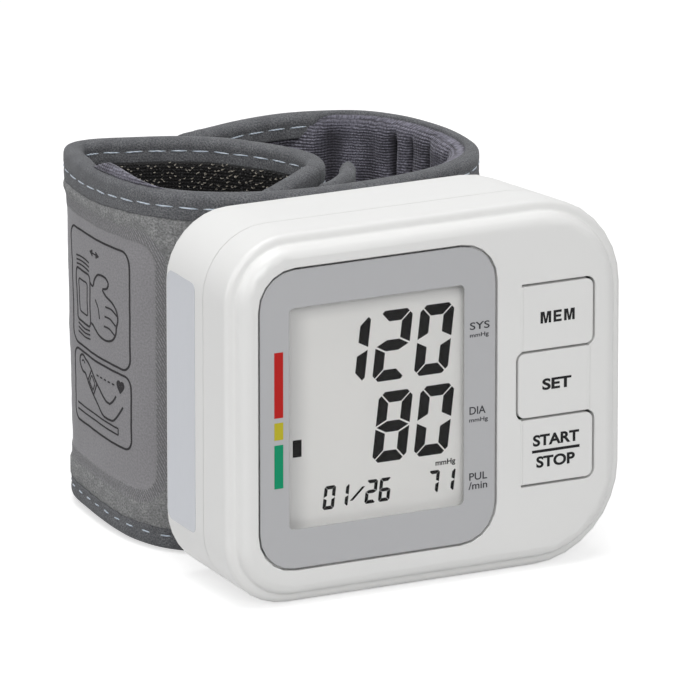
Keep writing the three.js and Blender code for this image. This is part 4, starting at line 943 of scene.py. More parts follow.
def on_strip(s, offset, z):
    """Points on the strip as it hangs, from lengths, distances outward from its middle and heights: its ends
    hang lower, and the left bend is a little shorter and leans in toward its foot."""
    up = np.asarray(z, float) / CUFF_HEIGHT
    bend = bump_between(s, *BEND_SPAN)
    tip_drop = TIP_SAG * (1 - smooth(s, TIP_SAG_START, TAIL_CUT))
    drop = WING_SAG * smooth(s, SAG_START, strip.end) + tip_drop + BEND_SAG * bend
    x, y = strip.place(s, offset)
    height = z - drop * up + BEND_LIFT * bend * (1 - up)
    return joined(x + BEND_LEAN * bend * (1 - up), y, height)


# Pad: the liner is drawn up over the tape to the rim, and its end leans and rounds off like a pillow
PAD_START = (LEFT_BEND + 5, LEFT_BEND + 14)
PAD_END = strip.at_knot(28.9) + 1.0
PAD_LEAN, PAD_LEAN_DEPTH, PAD_ROUND = 0.8, 9.0, 5.0


def pad_at(s, depth=0.0):
    """1 where the pad reaches the rim, 0 where the tape's inner lip shows."""
    end = PAD_END + PAD_LEAN * np.minimum(depth, PAD_LEAN_DEPTH)
    return smooth(s, *PAD_START) * quarter_round((end - s) / PAD_ROUND)


# Binding tapes: depths of their lips and seams below the rim, and their stitches
TAPE_CUT = 10.5
TAPE_THICKNESS = 0.45
TAPE_PROUD, TAPE_ROUND = 0.14, 0.12
TAPE_WAVER = (0.12, 6.0, 9.0)
TAPE_WAVES = ((0.09, 5.0), (0.035, 1.6))
LIP_TAPER = 1.0
TAPER_SPAN = (LEFT_BEND + 9, SIDE_END + 2)
INNER_LIP, INNER_SEAM = 4.3, 2.25
SEAM_DENT, SEAM_WIDTH, SEAM_SLACK = 0.24, 0.6, 0.6
STITCH_PITCH = 4.2
STITCH_LENGTH = 3.4


class Edge:
    """One long edge of the strip and the tape on it; depths are measured from its rim."""

    def __init__(self, at_top, outer_lip, outer_seam, stitch_length, seeds):
        self.at_top = at_top
        self.outer_lip, self.outer_seam = outer_lip, outer_seam
        self.stitch_length = stitch_length
        self.outer_seed, self.inner_seed = seeds

    def narrowed(self, s):
        """How much the upper tape's outer lip gets shorter toward the housing."""
        return self.at_top * LIP_TAPER * smooth(s, *TAPER_SPAN)

    def lip(self, s):
        return self.outer_lip - self.narrowed(s)

    def seam(self, s, outside):
        return self.outer_seam - self.narrowed(s) if outside else INNER_SEAM

    def padded(self, s):
        return self.at_top * pad_at(s)

    def height(self, depth):
        return CUFF_HEIGHT - depth if self.at_top else depth

    def face(self, s, depth, outside):
        """Distance of the tape's face from the strip's middle, at a depth below the rim."""
        seed = self.outer_seed if outside else self.inner_seed
        body = half_at(s) + TAPE_PROUD + TAPE_ROUND * np.sin(math.pi * np.clip(depth / self.lip(s), 0, 1))
        soft = waves(s, depth, *((*wave, seed) for wave in TAPE_WAVES))
        phase = np.abs((s / STITCH_PITCH) % 1.0 - 0.5) * STITCH_PITCH
        held = between(SEAM_SLACK, 1.0, smooth(phase, STITCH_LENGTH / 2, STITCH_PITCH / 2))
        return body + soft - SEAM_DENT * held * bell(depth - self.seam(s, outside), SEAM_WIDTH)


EDGES = {
    "top": Edge(True, outer_lip=5.9, outer_seam=3.65, stitch_length=STITCH_LENGTH, seeds=(7.0, 8.0)),
    "bottom": Edge(False, outer_lip=4.0, outer_seam=2.7, stitch_length=2.1, seeds=(17.0, 18.0)),
}

# Loop cloth: sunk under the tapes, raised beyond them, flatter behind the housing, pressed thin in the panel
SHELL_SUNK, SHELL_RISE, SHELL_FLATTER = 0.6, 0.86, 0.25
SHELL_FREE = (-1.7, 0.7)
BORDER_PRESS, BORDER_SLOPE = 0.36, (HATCH_WIDTH - 0.4, HATCH_WIDTH + 0.7)
PANEL_PRESS, PANEL_SLOPE = 0.14, (-0.4, 0.3)
WELT_HEIGHT, WELT_WIDTH = 0.1, 0.35
PUCKER_HEIGHT, PUCKER_REACH = 0.1, 6.0
SHELL_WAVES = ((0.2, 9.0, 1.0), (0.08, 2.6, 2.0))


def panel_distance(s, z):
    """Distance outside the pressed panel's edge; negative inside it."""
    dx = np.abs(s - PANEL_CENTRE[0]) - PANEL_SIZE[0] / 2 + PANEL_RADIUS
    dz = np.abs(z - PANEL_CENTRE[1]) - PANEL_SIZE[1] / 2 + PANEL_RADIUS
    outer = np.hypot(np.maximum(dx, 0), np.maximum(dz, 0))
    return outer + np.minimum(np.maximum(dx, dz), 0) - PANEL_RADIUS


def shell_offset(s, z):
    """Outer face of the loop cloth."""
    s, z = np.broadcast_arrays(np.asarray(s, float), np.asarray(z, float))
    top, bottom = EDGES.values()
    edge = np.minimum(CUFF_HEIGHT - z - top.lip(s), z - bottom.lip(s))
    free = smooth(edge, *SHELL_FREE)
    around = panel_distance(s, z)
    border = BORDER_PRESS * (1 - smooth(around, *BORDER_SLOPE))
    panel = PANEL_PRESS * (1 - smooth(around, *PANEL_SLOPE))
    welt = WELT_HEIGHT * bell(around, WELT_WIDTH)
    pulled = PUCKER_HEIGHT * np.cos(2 * math.pi * s / STITCH_PITCH)
    pucker = pulled * free * (1 - smooth(edge, 0.0, PUCKER_REACH))
    soft = waves(s, z, *SHELL_WAVES)
    rise = SHELL_RISE - SHELL_FLATTER * bump_between(s, *HALF_AT)
    return half_at(s) - SHELL_SUNK + free * (rise - border - panel + welt + soft + pucker)


# Upright creases of the padded liner round the right bend: place along the strip, depth and width
CREASES = [
    (187.0, 1.0, 1.5), (196.8, 1.7, 1.2), (202.8, 2.0, 0.75), (207.8, 2.6, 1.0), (213.5, 0.8, 2.2),
    (222.5, 1.3, 2.4),
]
CREASE_FADE = (0.6, 5.0)
CREASE_SWAY, SWAY_UP, SWAY_ALONG = (1.1, 8.0, 5.0), 0.6, 0.05

# Knit liner: flat between the tapes' inner lips, or padded; pairs hold a value by the housing and on the wing
LINER_SUNK, LINER_RISE, FLAT_FOLDS = 0.55, 0.35, 0.4
LONG_FOLDS, FINE_FOLDS, FOLD_STRETCH = (0.5, 6.0, 3.0), (0.16, 2.4, 4.0), 0.4
FLAT_TOP = (INNER_LIP - 0.5, INNER_LIP + 2.5)
FLAT_FOOT = (INNER_LIP - 0.5, INNER_LIP + 3.2)
PAD_FOOT = (INNER_LIP - 0.5, INNER_LIP + 4.0)
BULGES, SHOULDERS, FOLDS = (1.3, 2.1), (1.6, 3.0), (0.5, 1.3)
TOP_DEPTHS, TOP_OFFSETS, LEAST_TOP_DEPTH = (0.4, 0.5), (-0.25, 0.3), 0.3
FRINGE, FRINGE_CURL = 2.1, 0.3
FRINGE_SPAN = (LEFT_BEND + 11, LEFT_BEND + 18, LEFT_BEND + 18, LEFT_BEND + 40)
WING_SPAN = (SEAM + 10, WING_START + 2)


def liner_top(s):
    """Depth of the liner's upper edge below the rim."""
    padded = between(*TOP_DEPTHS, smooth(s, *WING_SPAN)) - FRINGE * bump_between(s, *FRINGE_SPAN)
    return between(LAYER_END, padded, pad_at(s))


def crease_depth(s, z):
    """How far the padded liner is drawn in at its creases."""
    sway = waves(z * SWAY_UP, s * SWAY_ALONG, CREASE_SWAY)
    folds = sum(depth * bell(s + sway - at, width) for at, depth, width in CREASES)
    return folds * smooth(CUFF_HEIGHT - z, *CREASE_FADE)


def liner_offset(s, z):
    """Skin face of the knit liner, as a distance inward: a pad over the bladder, creased in the bend."""
    s, z = np.broadcast_arrays(np.asarray(s, float), np.asarray(z, float))
    half, depth, wing = half_at(s), CUFF_HEIGHT - z, smooth(s, *WING_SPAN)
    folds = waves(s, z * FOLD_STRETCH, LONG_FOLDS) + waves(s, z, FINE_FOLDS)
    free = smooth(depth, *FLAT_TOP) * smooth(z, *FLAT_FOOT)
    flat = half - LINER_SUNK + free * (LINER_RISE + FLAT_FOLDS * folds)
    full = half + between(*BULGES, wing) + between(*FOLDS, wing) * folds - wing * crease_depth(s, z)
    top = between(*TOP_OFFSETS, wing) + FRINGE_CURL * np.maximum(-depth, 0.0) ** 2
    rise = (depth - np.maximum(liner_top(s), LEAST_TOP_DEPTH)) / between(*SHOULDERS, wing)
    rounded = between(top, full, quarter_round(rise))
    padded = between(half - LINER_SUNK, rounded, smooth(z, *PAD_FOOT))
    return between(flat, padded, pad_at(s, np.maximum(depth, 0.0)))


def swept(name, s, sections, shader, cloth):
    """A closed piece from one section per station; a section holds (offset outward, height) points."""
    points = on_strip(s[:, None], sections[..., 0], sections[..., 1]).reshape(-1, 3)
    return mesh_piece(name, points, ring_faces(len(s), sections.shape[1]), shader, cloth.reshape(-1, 3))


def layer(name, s, face, thickness, low, high, side, shader, rows=LAYER_ROWS, crease_shade=None):
    """A cloth layer between two heights; face gives its visible side, on the outside (side 1) or the inside
    (-1), and crease_shade a depth over it that the knit's finish darkens as painted shade."""
    column = s[:, None]
    z = between(low[:, None], high[:, None], gathered(rows, LAYER_EASE))
    visible = face(column, z)
    back = joined(side * (visible - thickness), z)[:, ::-1]
    outline = np.concatenate([joined(side * visible, z), back], axis=1)
    flat = joined(column, z, crease_shade(column, z) if crease_shade else 0.0)
    return swept(name, s, outline, shader, np.concatenate([flat, flat[:, ::-1]], axis=1))


CREST, CREST_STEPS, CREST_POWER = 1.5, 15, 0.8
LIP_STEPS = 12
TUCKED_LIP = CREST + 0.4
TUCK = np.array((0.72, 0.55))
FOLD_HALF = 0.5
FOLD_DEPTH = 0.3 * CREST


def tape(name, s, edge):
    """Folded tape over an edge: an outer lip, a round crest and an inner lip, tucked under the pad."""
    column = s[:, None]
    waver = waves(column, 0.0, TAPE_WAVER)
    tucked = edge.padded(column)
    share = np.linspace(1, 0, LIP_STEPS)
    outer_depth = between(CREST, edge.lip(column) + waver, share)
    inner_depth = between(CREST, between(INNER_LIP + waver, TUCKED_LIP, tucked), share[::-1])
    outer = joined(edge.face(column, outer_depth, True), outer_depth)
    inner = joined(-edge.face(column, inner_depth, False), inner_depth)
    angle = np.linspace(0, math.pi, CREST_STEPS)[1:-1]
    cosine = np.cos(angle)
    reach = np.where(cosine > 0, edge.face(column, CREST, True), edge.face(column, CREST, False))
    across = np.sign(cosine) * np.abs(cosine) ** CREST_POWER
    crest = joined(reach * across, CREST * (1 - np.sin(angle) ** CREST_POWER))
    outside = np.concatenate([outer, crest, inner], axis=1)
    outside *= np.where(outside[..., :1] < 0, 1 - TUCK * tucked[..., None], 1.0)
    offset, depth = outside[..., 0], outside[..., 1]
    under_offset = offset - TAPE_THICKNESS * np.clip(offset / FOLD_HALF, -1, 1)
    under_depth = np.maximum(depth, FOLD_DEPTH) + TAPE_THICKNESS * smooth(CREST - depth, 0, CREST)
    section = np.concatenate([outside, joined(under_offset, under_depth)[:, ::-1]], axis=1)
    cloth = joined(column, arc_lengths(section), 0.0)
    section[..., 1] = edge.height(section[..., 1])
    return swept(name, s, section, tape_fabric, cloth)


STITCH_SIDES, STITCH_RINGS = 8, 7
STITCH_WIDTH, STITCH_RISE = 0.145, 0.13
STITCH_LIFT, STITCH_DIP = 0.05, 0.12
STITCH_END = 0.08
STITCH_TILT, STITCH_TURN = 0.07, 2.4
HIDDEN_PAD = 0.2


def stitch(batch, middle, along, face, sign, tilt=0.0, length=STITCH_LENGTH):
    """One thread stitch on a face of the strip: a flattened pill through middle (s, z), along a direction;
    face gives that face's distance from the strip's middle at a length."""
    angle = np.linspace(0, 2 * math.pi, STITCH_SIDES, endpoint=False)
    rings = []
    for share in np.linspace(-1, 1, STITCH_RINGS):
        size = math.sqrt(max(STITCH_END, 1 - abs(share) ** 3))
        s, z = (at + share * length / 2 * way for at, way in zip(middle, along))
        across = tilt * share + STITCH_WIDTH * size * np.cos(angle)
        lift = STITCH_RISE * size * np.sin(angle) + STITCH_LIFT - STITCH_DIP * share ** 4
        rings.append(on_strip(s - across * along[1], sign * (face(s) + lift), z + across * along[0]))
    batch.add(rings, (*middle, 0.0))


def stitch_line(batch, start, end, edge, outside):
    """A row of stitches in a tape."""
    first = math.ceil(start / STITCH_PITCH - 0.5)
    for number in range(first, int(end / STITCH_PITCH - 0.5) + 1):
        middle = (number + 0.5) * STITCH_PITCH
        if middle - STITCH_LENGTH / 2 < start or middle + STITCH_LENGTH / 2 > end:
            continue
        if not outside and edge.padded(middle) > HIDDEN_PAD:
            continue
        depth = float(edge.seam(middle, outside))
        face = lambda s: float(edge.face(s, depth, outside))
        tilt = STITCH_TILT * math.sin(number * STITCH_TURN)
        sign = 1 if outside else -1
        stitch(batch, (middle, edge.height(depth)), (1, 0), face, sign, tilt, edge.stitch_length)


# Cloth finishes
def fabric(name, roughness, specular, sheen, sheen_roughness, tint):
    shader = Shader(name, roughness=roughness, specular_ior_level=specular)
    shader.set(sheen_weight=sheen, sheen_roughness=sheen_roughness, sheen_tint=tint)
    return shader


def loop_cloth():
    """Brushed loop cloth: a mottled pile, with a pressed smooth panel and a hatched border round it."""
    shader = fabric("loop_cloth", 0.95, 0.15, 0.3, 0.45, (0.75, 0.76, 0.78))
    cloth = shader.cloth()
    flat = shader.scaled(cloth, (1.0, 1.0, 0.0))
    axes = shader.split(cloth)
    distance = shader.rounded_box(axes["X"], axes["Y"], PANEL_CENTRE, PANEL_SIZE, PANEL_RADIUS)
    panel = shader.ramp(distance, -0.25, 0.25, 1.0, 0.0)
    within = shader.ramp(distance, HATCH_WIDTH - 0.3, HATCH_WIDTH + 0.3, 1.0, 0.0)
    border = shader.times(within, shader.ramp(distance, -0.25, 0.25))
    pile = shader.noise(flat, 2.6, 4.0, 0.7)
    clumps = shader.noise(flat, 0.5, 3.0, 0.6)
    turn = {"Vector": flat, "Angle": HATCH_ANGLE}
    turned = shader.node("ShaderNodeVectorRotate", turn, rotation_type="Z_AXIS").outputs[0]
    hatch = shader.bands(turned, HATCH_PITCH, 0.7, "X")
    fuzzy = shader.tones(clumps, 0.3, 0.7, (0.27, 0.272, 0.272), (0.41, 0.412, 0.41))
    fuzzy = shader.tones(pile, 0.34, 0.66, (0.15, 0.152, 0.155), fuzzy)
    pressed = shader.tones(pile, 0.3, 0.7, (0.24, 0.235, 0.245), (0.33, 0.322, 0.336))
    grooved = shader.tones(hatch, 0.15, 0.8, (0.18, 0.178, 0.185), (0.35, 0.345, 0.357))
    grooved = shader.tones(pile, 0.35, 0.6, (0.18, 0.179, 0.184), grooved)
    shader.set(base_color=shader.mix(panel, shader.mix(border, fuzzy, grooved), pressed))
    rough_height = shader.plus(shader.times(pile, 0.6), shader.times(clumps, 0.4))
    hatch_height = shader.times(shader.times(hatch, border), 0.3)
    calm = shader.less(1.0, shader.times(panel, 0.75))
    shader.bump(shader.plus(shader.times(rough_height, calm), hatch_height), 0.4, 0.8)
    return shader


def knit_cloth():
    """Fine ribbed knit: level ribs of small loops, dark violet grey, with a soft sheen and painted shade in
    its creases.
    """
    shader = fabric("knit_cloth", 0.8, 0.25, 0.55, 0.4, (0.62, 0.61, 0.68))
    cloth = shader.cloth()
    flat = shader.scaled(cloth, (1.0, 1.0, 0.0))
    ribs = shader.bands(flat, 0.52, 2.2, "Y")
    loops = shader.bands(flat, 0.7, 1.2, "X")
    fibres = shader.noise(flat, 2.8, 4.0, 0.65)
    patches = shader.noise(shader.scaled(flat, (1.0, 0.6, 0.0)), 0.22, 3.0)
    shown = shader.ramp(shader.noise(shader.scaled(flat, (1.0, 0.5, 0.0)), 0.12), 0.4, 0.62)
    body = shader.tones(patches, 0.3, 0.7, (0.165, 0.161, 0.202), (0.31, 0.302, 0.366))
    body = shader.tones(fibres, 0.35, 0.65, (0.06, 0.058, 0.072), body)
    looped = shader.times(ribs, shader.ramp(loops, out_low=0.55))
    rib_shade = shader.plus(shader.ramp(looped, 0.05, 0.7), shader.times(shader.less(1.0, shown), 0.6))
    knitted = shader.mix(shader.math("MINIMUM", rib_shade, 1.0), (0.032, 0.03, 0.038), body)
    # Painted shade: the crease depth in the cloth's third value darkens the knit in its creases
    painted_crease_shade = shader.ramp(shader.split(cloth)["Z"], 0.15, 1.8, 0.0, 0.85)
    shader.set(base_color=shader.mix(painted_crease_shade, knitted, (0.022, 0.02, 0.026)))
    shader.bump(shader.plus(ribs, shader.times(shader.plus(loops, fibres), 0.35)), 0.16, 0.9)
    return shader


def tape_cloth():
    """Brushed stretch tape: fine woven threads with a heather of lighter and darker fibres."""
    shader = fabric("tape_cloth", 0.92, 0.15, 0.25, 0.45, (0.7, 0.72, 0.74))
    cloth = shader.cloth()
    threads = shader.bands(cloth, 0.42, 1.4, "DIAGONAL")
    fibres = shader.noise(cloth, 3.2, 4.0, 0.75)
    patches = shader.noise(cloth, 0.35, 3.0)
    base = shader.tones(patches, 0.3, 0.7, (0.162, 0.165, 0.174), (0.224, 0.228, 0.239))
    base = shader.tones(fibres, 0.36, 0.64, (0.075, 0.077, 0.083), base)
    shader.set(base_color=shader.mix(shader.ramp(threads, 0.0, 0.5, 0.2, 0.0), base, (0.09, 0.092, 0.097)))
    shader.bump(shader.plus(fibres, shader.times(threads, 0.15)), 0.16, 0.85)
    return shader


def hook_cloth():
    """Black hook tape ground: a tight dark weave."""
    shader = Shader("hook_cloth", roughness=0.7, specular_ior_level=0.3)
    cloth = shader.cloth()
    weave = shader.times(shader.bands(cloth, 0.6, 0.3, "X"), shader.bands(cloth, 0.6, 0.3, "Y"))
    shader.set(base_color=shader.mix(weave, (0.005, 0.005, 0.0055), (0.016, 0.015, 0.015)))
    shader.bump(weave, 0.2)
    return shader


def hook_nylon():
    """Nylon hooks: more than half are black, and the others a pale tan, a painted highlight for the glints on
    their curls.
    """
    shader = Shader("hook_nylon", roughness=0.35, specular_ior_level=0.6)
    glint_chance = shader.split(shader.cloth())["Z"]
    # Painted highlight: pale tan hooks stand in for the glints of light on the hooks' curls
    shader.set(base_color=shader.tones(glint_chance, 0.5, 0.54, (0.016, 0.015, 0.015), (0.36, 0.33, 0.28)))
    return shader


def thread():
    """Pale blue-grey twisted thread."""
    shader = Shader("thread", roughness=0.55, specular_ior_level=0.4, sheen_weight=0.3)
    twist = shader.bands(shader.place(), 0.35, 0.4, "DIAGONAL")
    shader.set(base_color=shader.mix(twist, (0.36, 0.42, 0.5), (0.66, 0.73, 0.8)))
    shader.bump(twist, 0.05)
    return shader


loop_fabric = loop_cloth()
knit_fabric = knit_cloth()
tape_fabric = tape_cloth()
stitch_thread = thread()

# The three stretches of the cuff, and how each moves
STRETCHES = {
    "wing": {"body": "cuff_wing", "bends": True, "range": (SEAM, strip.end)},
    "wrap": {"body": "cuff_tail", "bends": True, "range": (TAIL_CUT, SEAM)},
    "tip": {"body": "cuff_tail", "bends": False, "range": (strip.start, TAIL_CUT)},
}


def hold(piece, stretch):
    """Bakes a cloth piece into place where its stretch bends, or makes it ride the stretch's body where it
    does not.
    """
    if stretch["bends"]:
        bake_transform(piece)
    else:
        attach(piece, stretch["body"])


def tape_width(s, edge):
    """Mean width of the flat tape: what its outer lip, its crest and its inner lip take up."""
    inner = between(INNER_LIP + half_at(s), half_at(s) / 2, edge.padded(s))
    return max(TAPE_CUT, float(np.mean(edge.lip(s) + half_at(s) + inner)))


def build_stretch(name, stretch):
    start, end = stretch["range"]
    s = lengths(start, end, STEP)
    low, high = np.full_like(s, LAYER_END), np.full_like(s, CUFF_HEIGHT - LAYER_END)
    liner_high = CUFF_HEIGHT - liner_top(s)
    shell = layer(name + "_shell", s, shell_offset, SHELL_THICKNESS, low, high, 1, loop_fabric)
    # The liner's crease depth also sets the knit's painted shade in its creases
    skin = dict(side=-1, shader=knit_fabric, crease_shade=crease_depth)
    liner = layer(name + "_liner", s, liner_offset, LINER_THICKNESS, low, liner_high, **skin)
    tapes = [tape(f"{name}_tape_{side}", s, edge) for side, edge in EDGES.items()]
    stitches = Batch()
    for edge in EDGES.values():
        for outside in (True, False):
            stitch_line(stitches, start, end, edge, outside)
    threads = stitches.piece(name + "_stitches", stitch_thread)
    hold(shell, stretch)
    hold(liner, stretch)
    for piece in (*tapes, threads):
        hold(piece, stretch)
    for piece, edge in zip(tapes, EDGES.values()):
        width = tape_width(s, edge) * MM
    return shell, liner, *tapes


cuff = {name: build_stretch(name, stretch) for name, stretch in STRETCHES.items()}
for index, kind in enumerate(("shell", "liner", "binding_top", "binding_bottom")):
    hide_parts("cuff_wing_" + kind, "cuff_center_" + kind)
    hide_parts("cuff_tail_" + kind)
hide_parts("air_bladder", "bladder_lobe")


# End tapes: each folds over a cut end of the strip, from rim to rim
END_LIP, END_SEAM, END_DENT = 4.6, 2.9, 0.22
END_REACH, END_PROUD = 0.8, 0.55
END_FOLD = 1.2
END_DOME, END_DOME_LEAST = 2.2, 0.02
END_ROWS, END_EASE = 84, 0.6
END_LIP_STEPS, END_FOLD_STEPS = 10, 13
END_LOW, END_TALLER = -0.1, 0.3
END_WAVES, END_SHIFT = (0.1, 4.0, 21.0), 3


def end_tape(name, at, way):
    """Folded tape over the end at a length; way is the direction along the strip that leads off that end."""
    z = END_LOW + (CUFF_HEIGHT + END_TALLER) * gathered(END_ROWS, END_EASE)[:, None]
    dome = quarter_round(np.minimum(z - z[0], z[-1] - z) / END_DOME, END_DOME_LEAST)
    back = np.linspace(END_LIP, END_FOLD, END_LIP_STEPS)
    angle = np.linspace(0, math.pi, END_FOLD_STEPS)[1:-1]
    depth = np.concatenate([back, END_FOLD - (END_FOLD + END_REACH) * np.sin(angle), back[::-1]])
    across = np.concatenate([np.ones_like(back), np.cos(angle), -np.ones_like(back)])
    proud = half_at(at) + END_PROUD
    face = proud - END_DENT * bell(depth - END_SEAM, SEAM_WIDTH)
    outer = across * (face + waves(depth + END_SHIFT * across, z, END_WAVES)) * dome
    inner = outer - np.clip(outer, -TAPE_THICKNESS, TAPE_THICKNESS)
    inner_depth = np.maximum(depth, TAPE_THICKNESS - END_REACH)
    offsets = np.concatenate([outer, inner[:, ::-1]], axis=1)
    along = at - way * np.concatenate([depth, inner_depth[::-1]])
    points = on_strip(along, offsets, z).reshape(-1, 3)
    cloth = joined(z, along + offsets, 0.0).reshape(-1, 3)
    faces = ring_faces(END_ROWS, offsets.shape[1])
    piece = mesh_piece(name + "_end_tape", points, faces, tape_fabric, cloth)
    stitches = Batch()
    for sign in (1, -1):
        for number in range(1, int(CUFF_HEIGHT / STITCH_PITCH)):
            middle = (at - way * END_SEAM, (number + 0.5) * STITCH_PITCH)
            stitch(stitches, middle, (0, 1), lambda s: proud - END_DENT, sign)
    threads = stitches.piece(name + "_end_tape_stitches", stitch_thread)
    for made in (piece, threads):
        ride(made, STRETCHES[name]["body"])


end_tape("wing", strip.end, 1)
end_tape("tip", strip.start, -1)


# Hook patch on the tail's skin side
HOOK_START, HOOK_END = strip.at_knot(3.2), strip.at_knot(10.2)
HOOK_LOW, HOOK_HIGH = 5.0, CUFF_HEIGHT - 4.2
PATCH_PROUD, PATCH_THICKNESS, PATCH_ROWS = 0.75, 0.5, 40
PATCH_WAVES = (0.06, 7.0, 12.0)
HOOK_PITCH = 0.86
HOOK_SIDE_MARGIN, HOOK_LOW_MARGIN, HOOK_HIGH_MARGIN = 0.8, 0.3, 0.2
HOOK_SHIFT, HOOK_LEAN = 0.3, 0.6
HOOK_HEIGHT, HOOK_REACH = 0.75, 0.45
HOOK_RADIUS, HOOK_SIDES = 0.1, 4
HOOK_CURL = [(0.0, 0.0), (0.02, 0.6), (0.25, 0.95), (0.7, 1.0), (1.0, 0.72)]


def hook_face(s, z):
    """Skin face of the hook patch, which lies on the liner and the lower part of the tapes."""
    return half_at(s) + PATCH_PROUD + waves(s, z, PATCH_WAVES)


def hook_patch():
    s = lengths(HOOK_START, HOOK_END, STEP)
    low, high = np.full_like(s, HOOK_LOW), np.full_like(s, HOOK_HIGH)
    skin = dict(side=-1, shader=hook_cloth(), rows=PATCH_ROWS)
    patch = layer("hook_patch_cloth", s, hook_face, PATCH_THICKNESS, low, high, **skin)
    ride(patch, "cuff_tail")
    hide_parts("hook_patch")
    return patch


def hooks():
    """Rows of small nylon hooks: each rises from the patch and curls over along the strip."""
    batch = Batch()
    turn = np.linspace(0, 2 * math.pi, HOOK_SIDES, endpoint=False)
    rows = lengths(HOOK_LOW + HOOK_LOW_MARGIN, HOOK_HIGH - HOOK_HIGH_MARGIN, HOOK_PITCH)
    for s in lengths(HOOK_START + HOOK_SIDE_MARGIN, HOOK_END - HOOK_SIDE_MARGIN, HOOK_PITCH):
        for z in rows:
            ds, dz, lean = (rng.uniform(-most, most) for most in (HOOK_SHIFT, HOOK_SHIFT, HOOK_LEAN))
            # Each hook's glint chance picks whether it gets the pale painted highlight
            glint_chance, way = rng.uniform(), rng.choice((-1, 1))
            rings = []
            for along, rise in HOOK_CURL:
                at = np.full(HOOK_SIDES, s + ds + way * along * HOOK_REACH)
                offset = -(half_at(s) + PATCH_PROUD + rise * HOOK_HEIGHT + HOOK_RADIUS * np.sin(turn))
                height = z + dz + lean * along * HOOK_REACH + HOOK_RADIUS * np.cos(turn)
                rings.append(on_strip(at, offset, height))
            batch.add(rings, (s, z, glint_chance))
    ride(batch.piece("hook_patch_hooks", hook_nylon()), "cuff_tail")


patch = hook_patch()
hooks()


# Stiff tab that stands between the housing's back and the ring
TAB_LOW, TAB_HIGH, TAB_SIDE_HIGH = 4.0, CUFF_HEIGHT - 0.6, CUFF_HEIGHT - 3.6
TAB_HALF, TAB_END = 1.5, 0.25
TAB_STATIONS, TAB_ROWS, TAB_TOP_STEPS = 26, 20, 11
TAB_SIDE_WAVES, TAB_TOP_WAVES = (0.1, 4.0, 14.0), (0.2, 5.0, 15.0)


def liner_tab():
    path = Path(TAB_PLAN)
    s = np.linspace(0, path.end, TAB_STATIONS)[:, None]
    angle = np.linspace(0, math.pi, TAB_TOP_STEPS)
    top = joined(TAB_HALF * np.cos(angle), TAB_HIGH - TAB_HALF + TAB_HALF * np.sin(angle))
    up = np.linspace(TAB_LOW, TAB_SIDE_HIGH, TAB_ROWS)
    section = np.concatenate([top, joined(-TAB_HALF, up[::-1]), joined(TAB_HALF, up)])
    ends = between(TAB_END, 1.0, quarter_round(np.minimum(s, path.end - s) / TAB_HALF))
    offsets = section[:, 0] * ends + waves(s, section[:, 1], TAB_SIDE_WAVES)
    heights = section[:, 1] + waves(s, 0.0, TAB_TOP_WAVES)
    points = joined(*path.place(s, offsets), heights).reshape(-1, 3)
    cloth = joined(s, heights, offsets).reshape(-1, 3)
    faces = ring_faces(TAB_STATIONS, len(section))
    piece = mesh_piece("liner_tab_cloth", points, faces, tape_fabric, cloth)
    ride(piece, "housing")
    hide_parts("liner_tab")


liner_tab()


# Printed pictures in the pressed panel, as thin ribbons of ink on the cloth
LINE_WIDTH, MIDDLE_LINE, FINE, HAIR = 0.4, 0.34, 0.3, 0.28
LINE_STEP = 0.4
LINE_PROUD, LINE_SUNK = 0.05, 0.1
LINE_SECTION = ((-1, LINE_PROUD), (1, LINE_PROUD), (1, -LINE_SUNK), (-1, -LINE_SUNK))
CURVE_STEPS = 8
SPOT_RINGS = (1.0, 0.72, 0.44, 0.16)
SPOT_WIDTH = 0.36


class Print(Batch):
    """Lines of ink on the outer cloth; points are lengths along the strip and heights."""

    def line(self, points, width=LINE_WIDTH):
        """A ribbon along a polyline, with even steps."""
        points = np.array(points, float)
        arc = arc_lengths(points)
        at = np.linspace(0, arc[-1], max(2, int(arc[-1] / LINE_STEP) + 1))
        line = joined(*(np.interp(at, arc, points[:, k]) for k in (0, 1)))
        heading = np.gradient(line, axis=0)
        heading = heading / np.maximum(np.linalg.norm(heading, axis=1), 1e-9)[:, None]
        side, lift = np.array(LINE_SECTION).T
        side = side * width / 2
        s, z = line[:, :1], line[:, 1:]
        self.add(on_strip(s - side * heading[:, 1:], shell_offset(s, z) + lift, z + side * heading[:, :1]))

    def curve(self, points, width=LINE_WIDTH):
        self.line(spline(points, CURVE_STEPS), width)

    def loop(self, points, width=LINE_WIDTH):
        """A closed line, which runs a little past its start."""
        self.line([*points, *points[:2]], width)

    def box(self, low, high, radius, width=LINE_WIDTH):
        self.loop(rounded_outline(low, high, radius), width)

    def spot(self, points, centre):
        """A filled outline: rings of line from it in to its centre."""
        for share in SPOT_RINGS:
            self.loop(between(np.array(centre), points, share), SPOT_WIDTH)


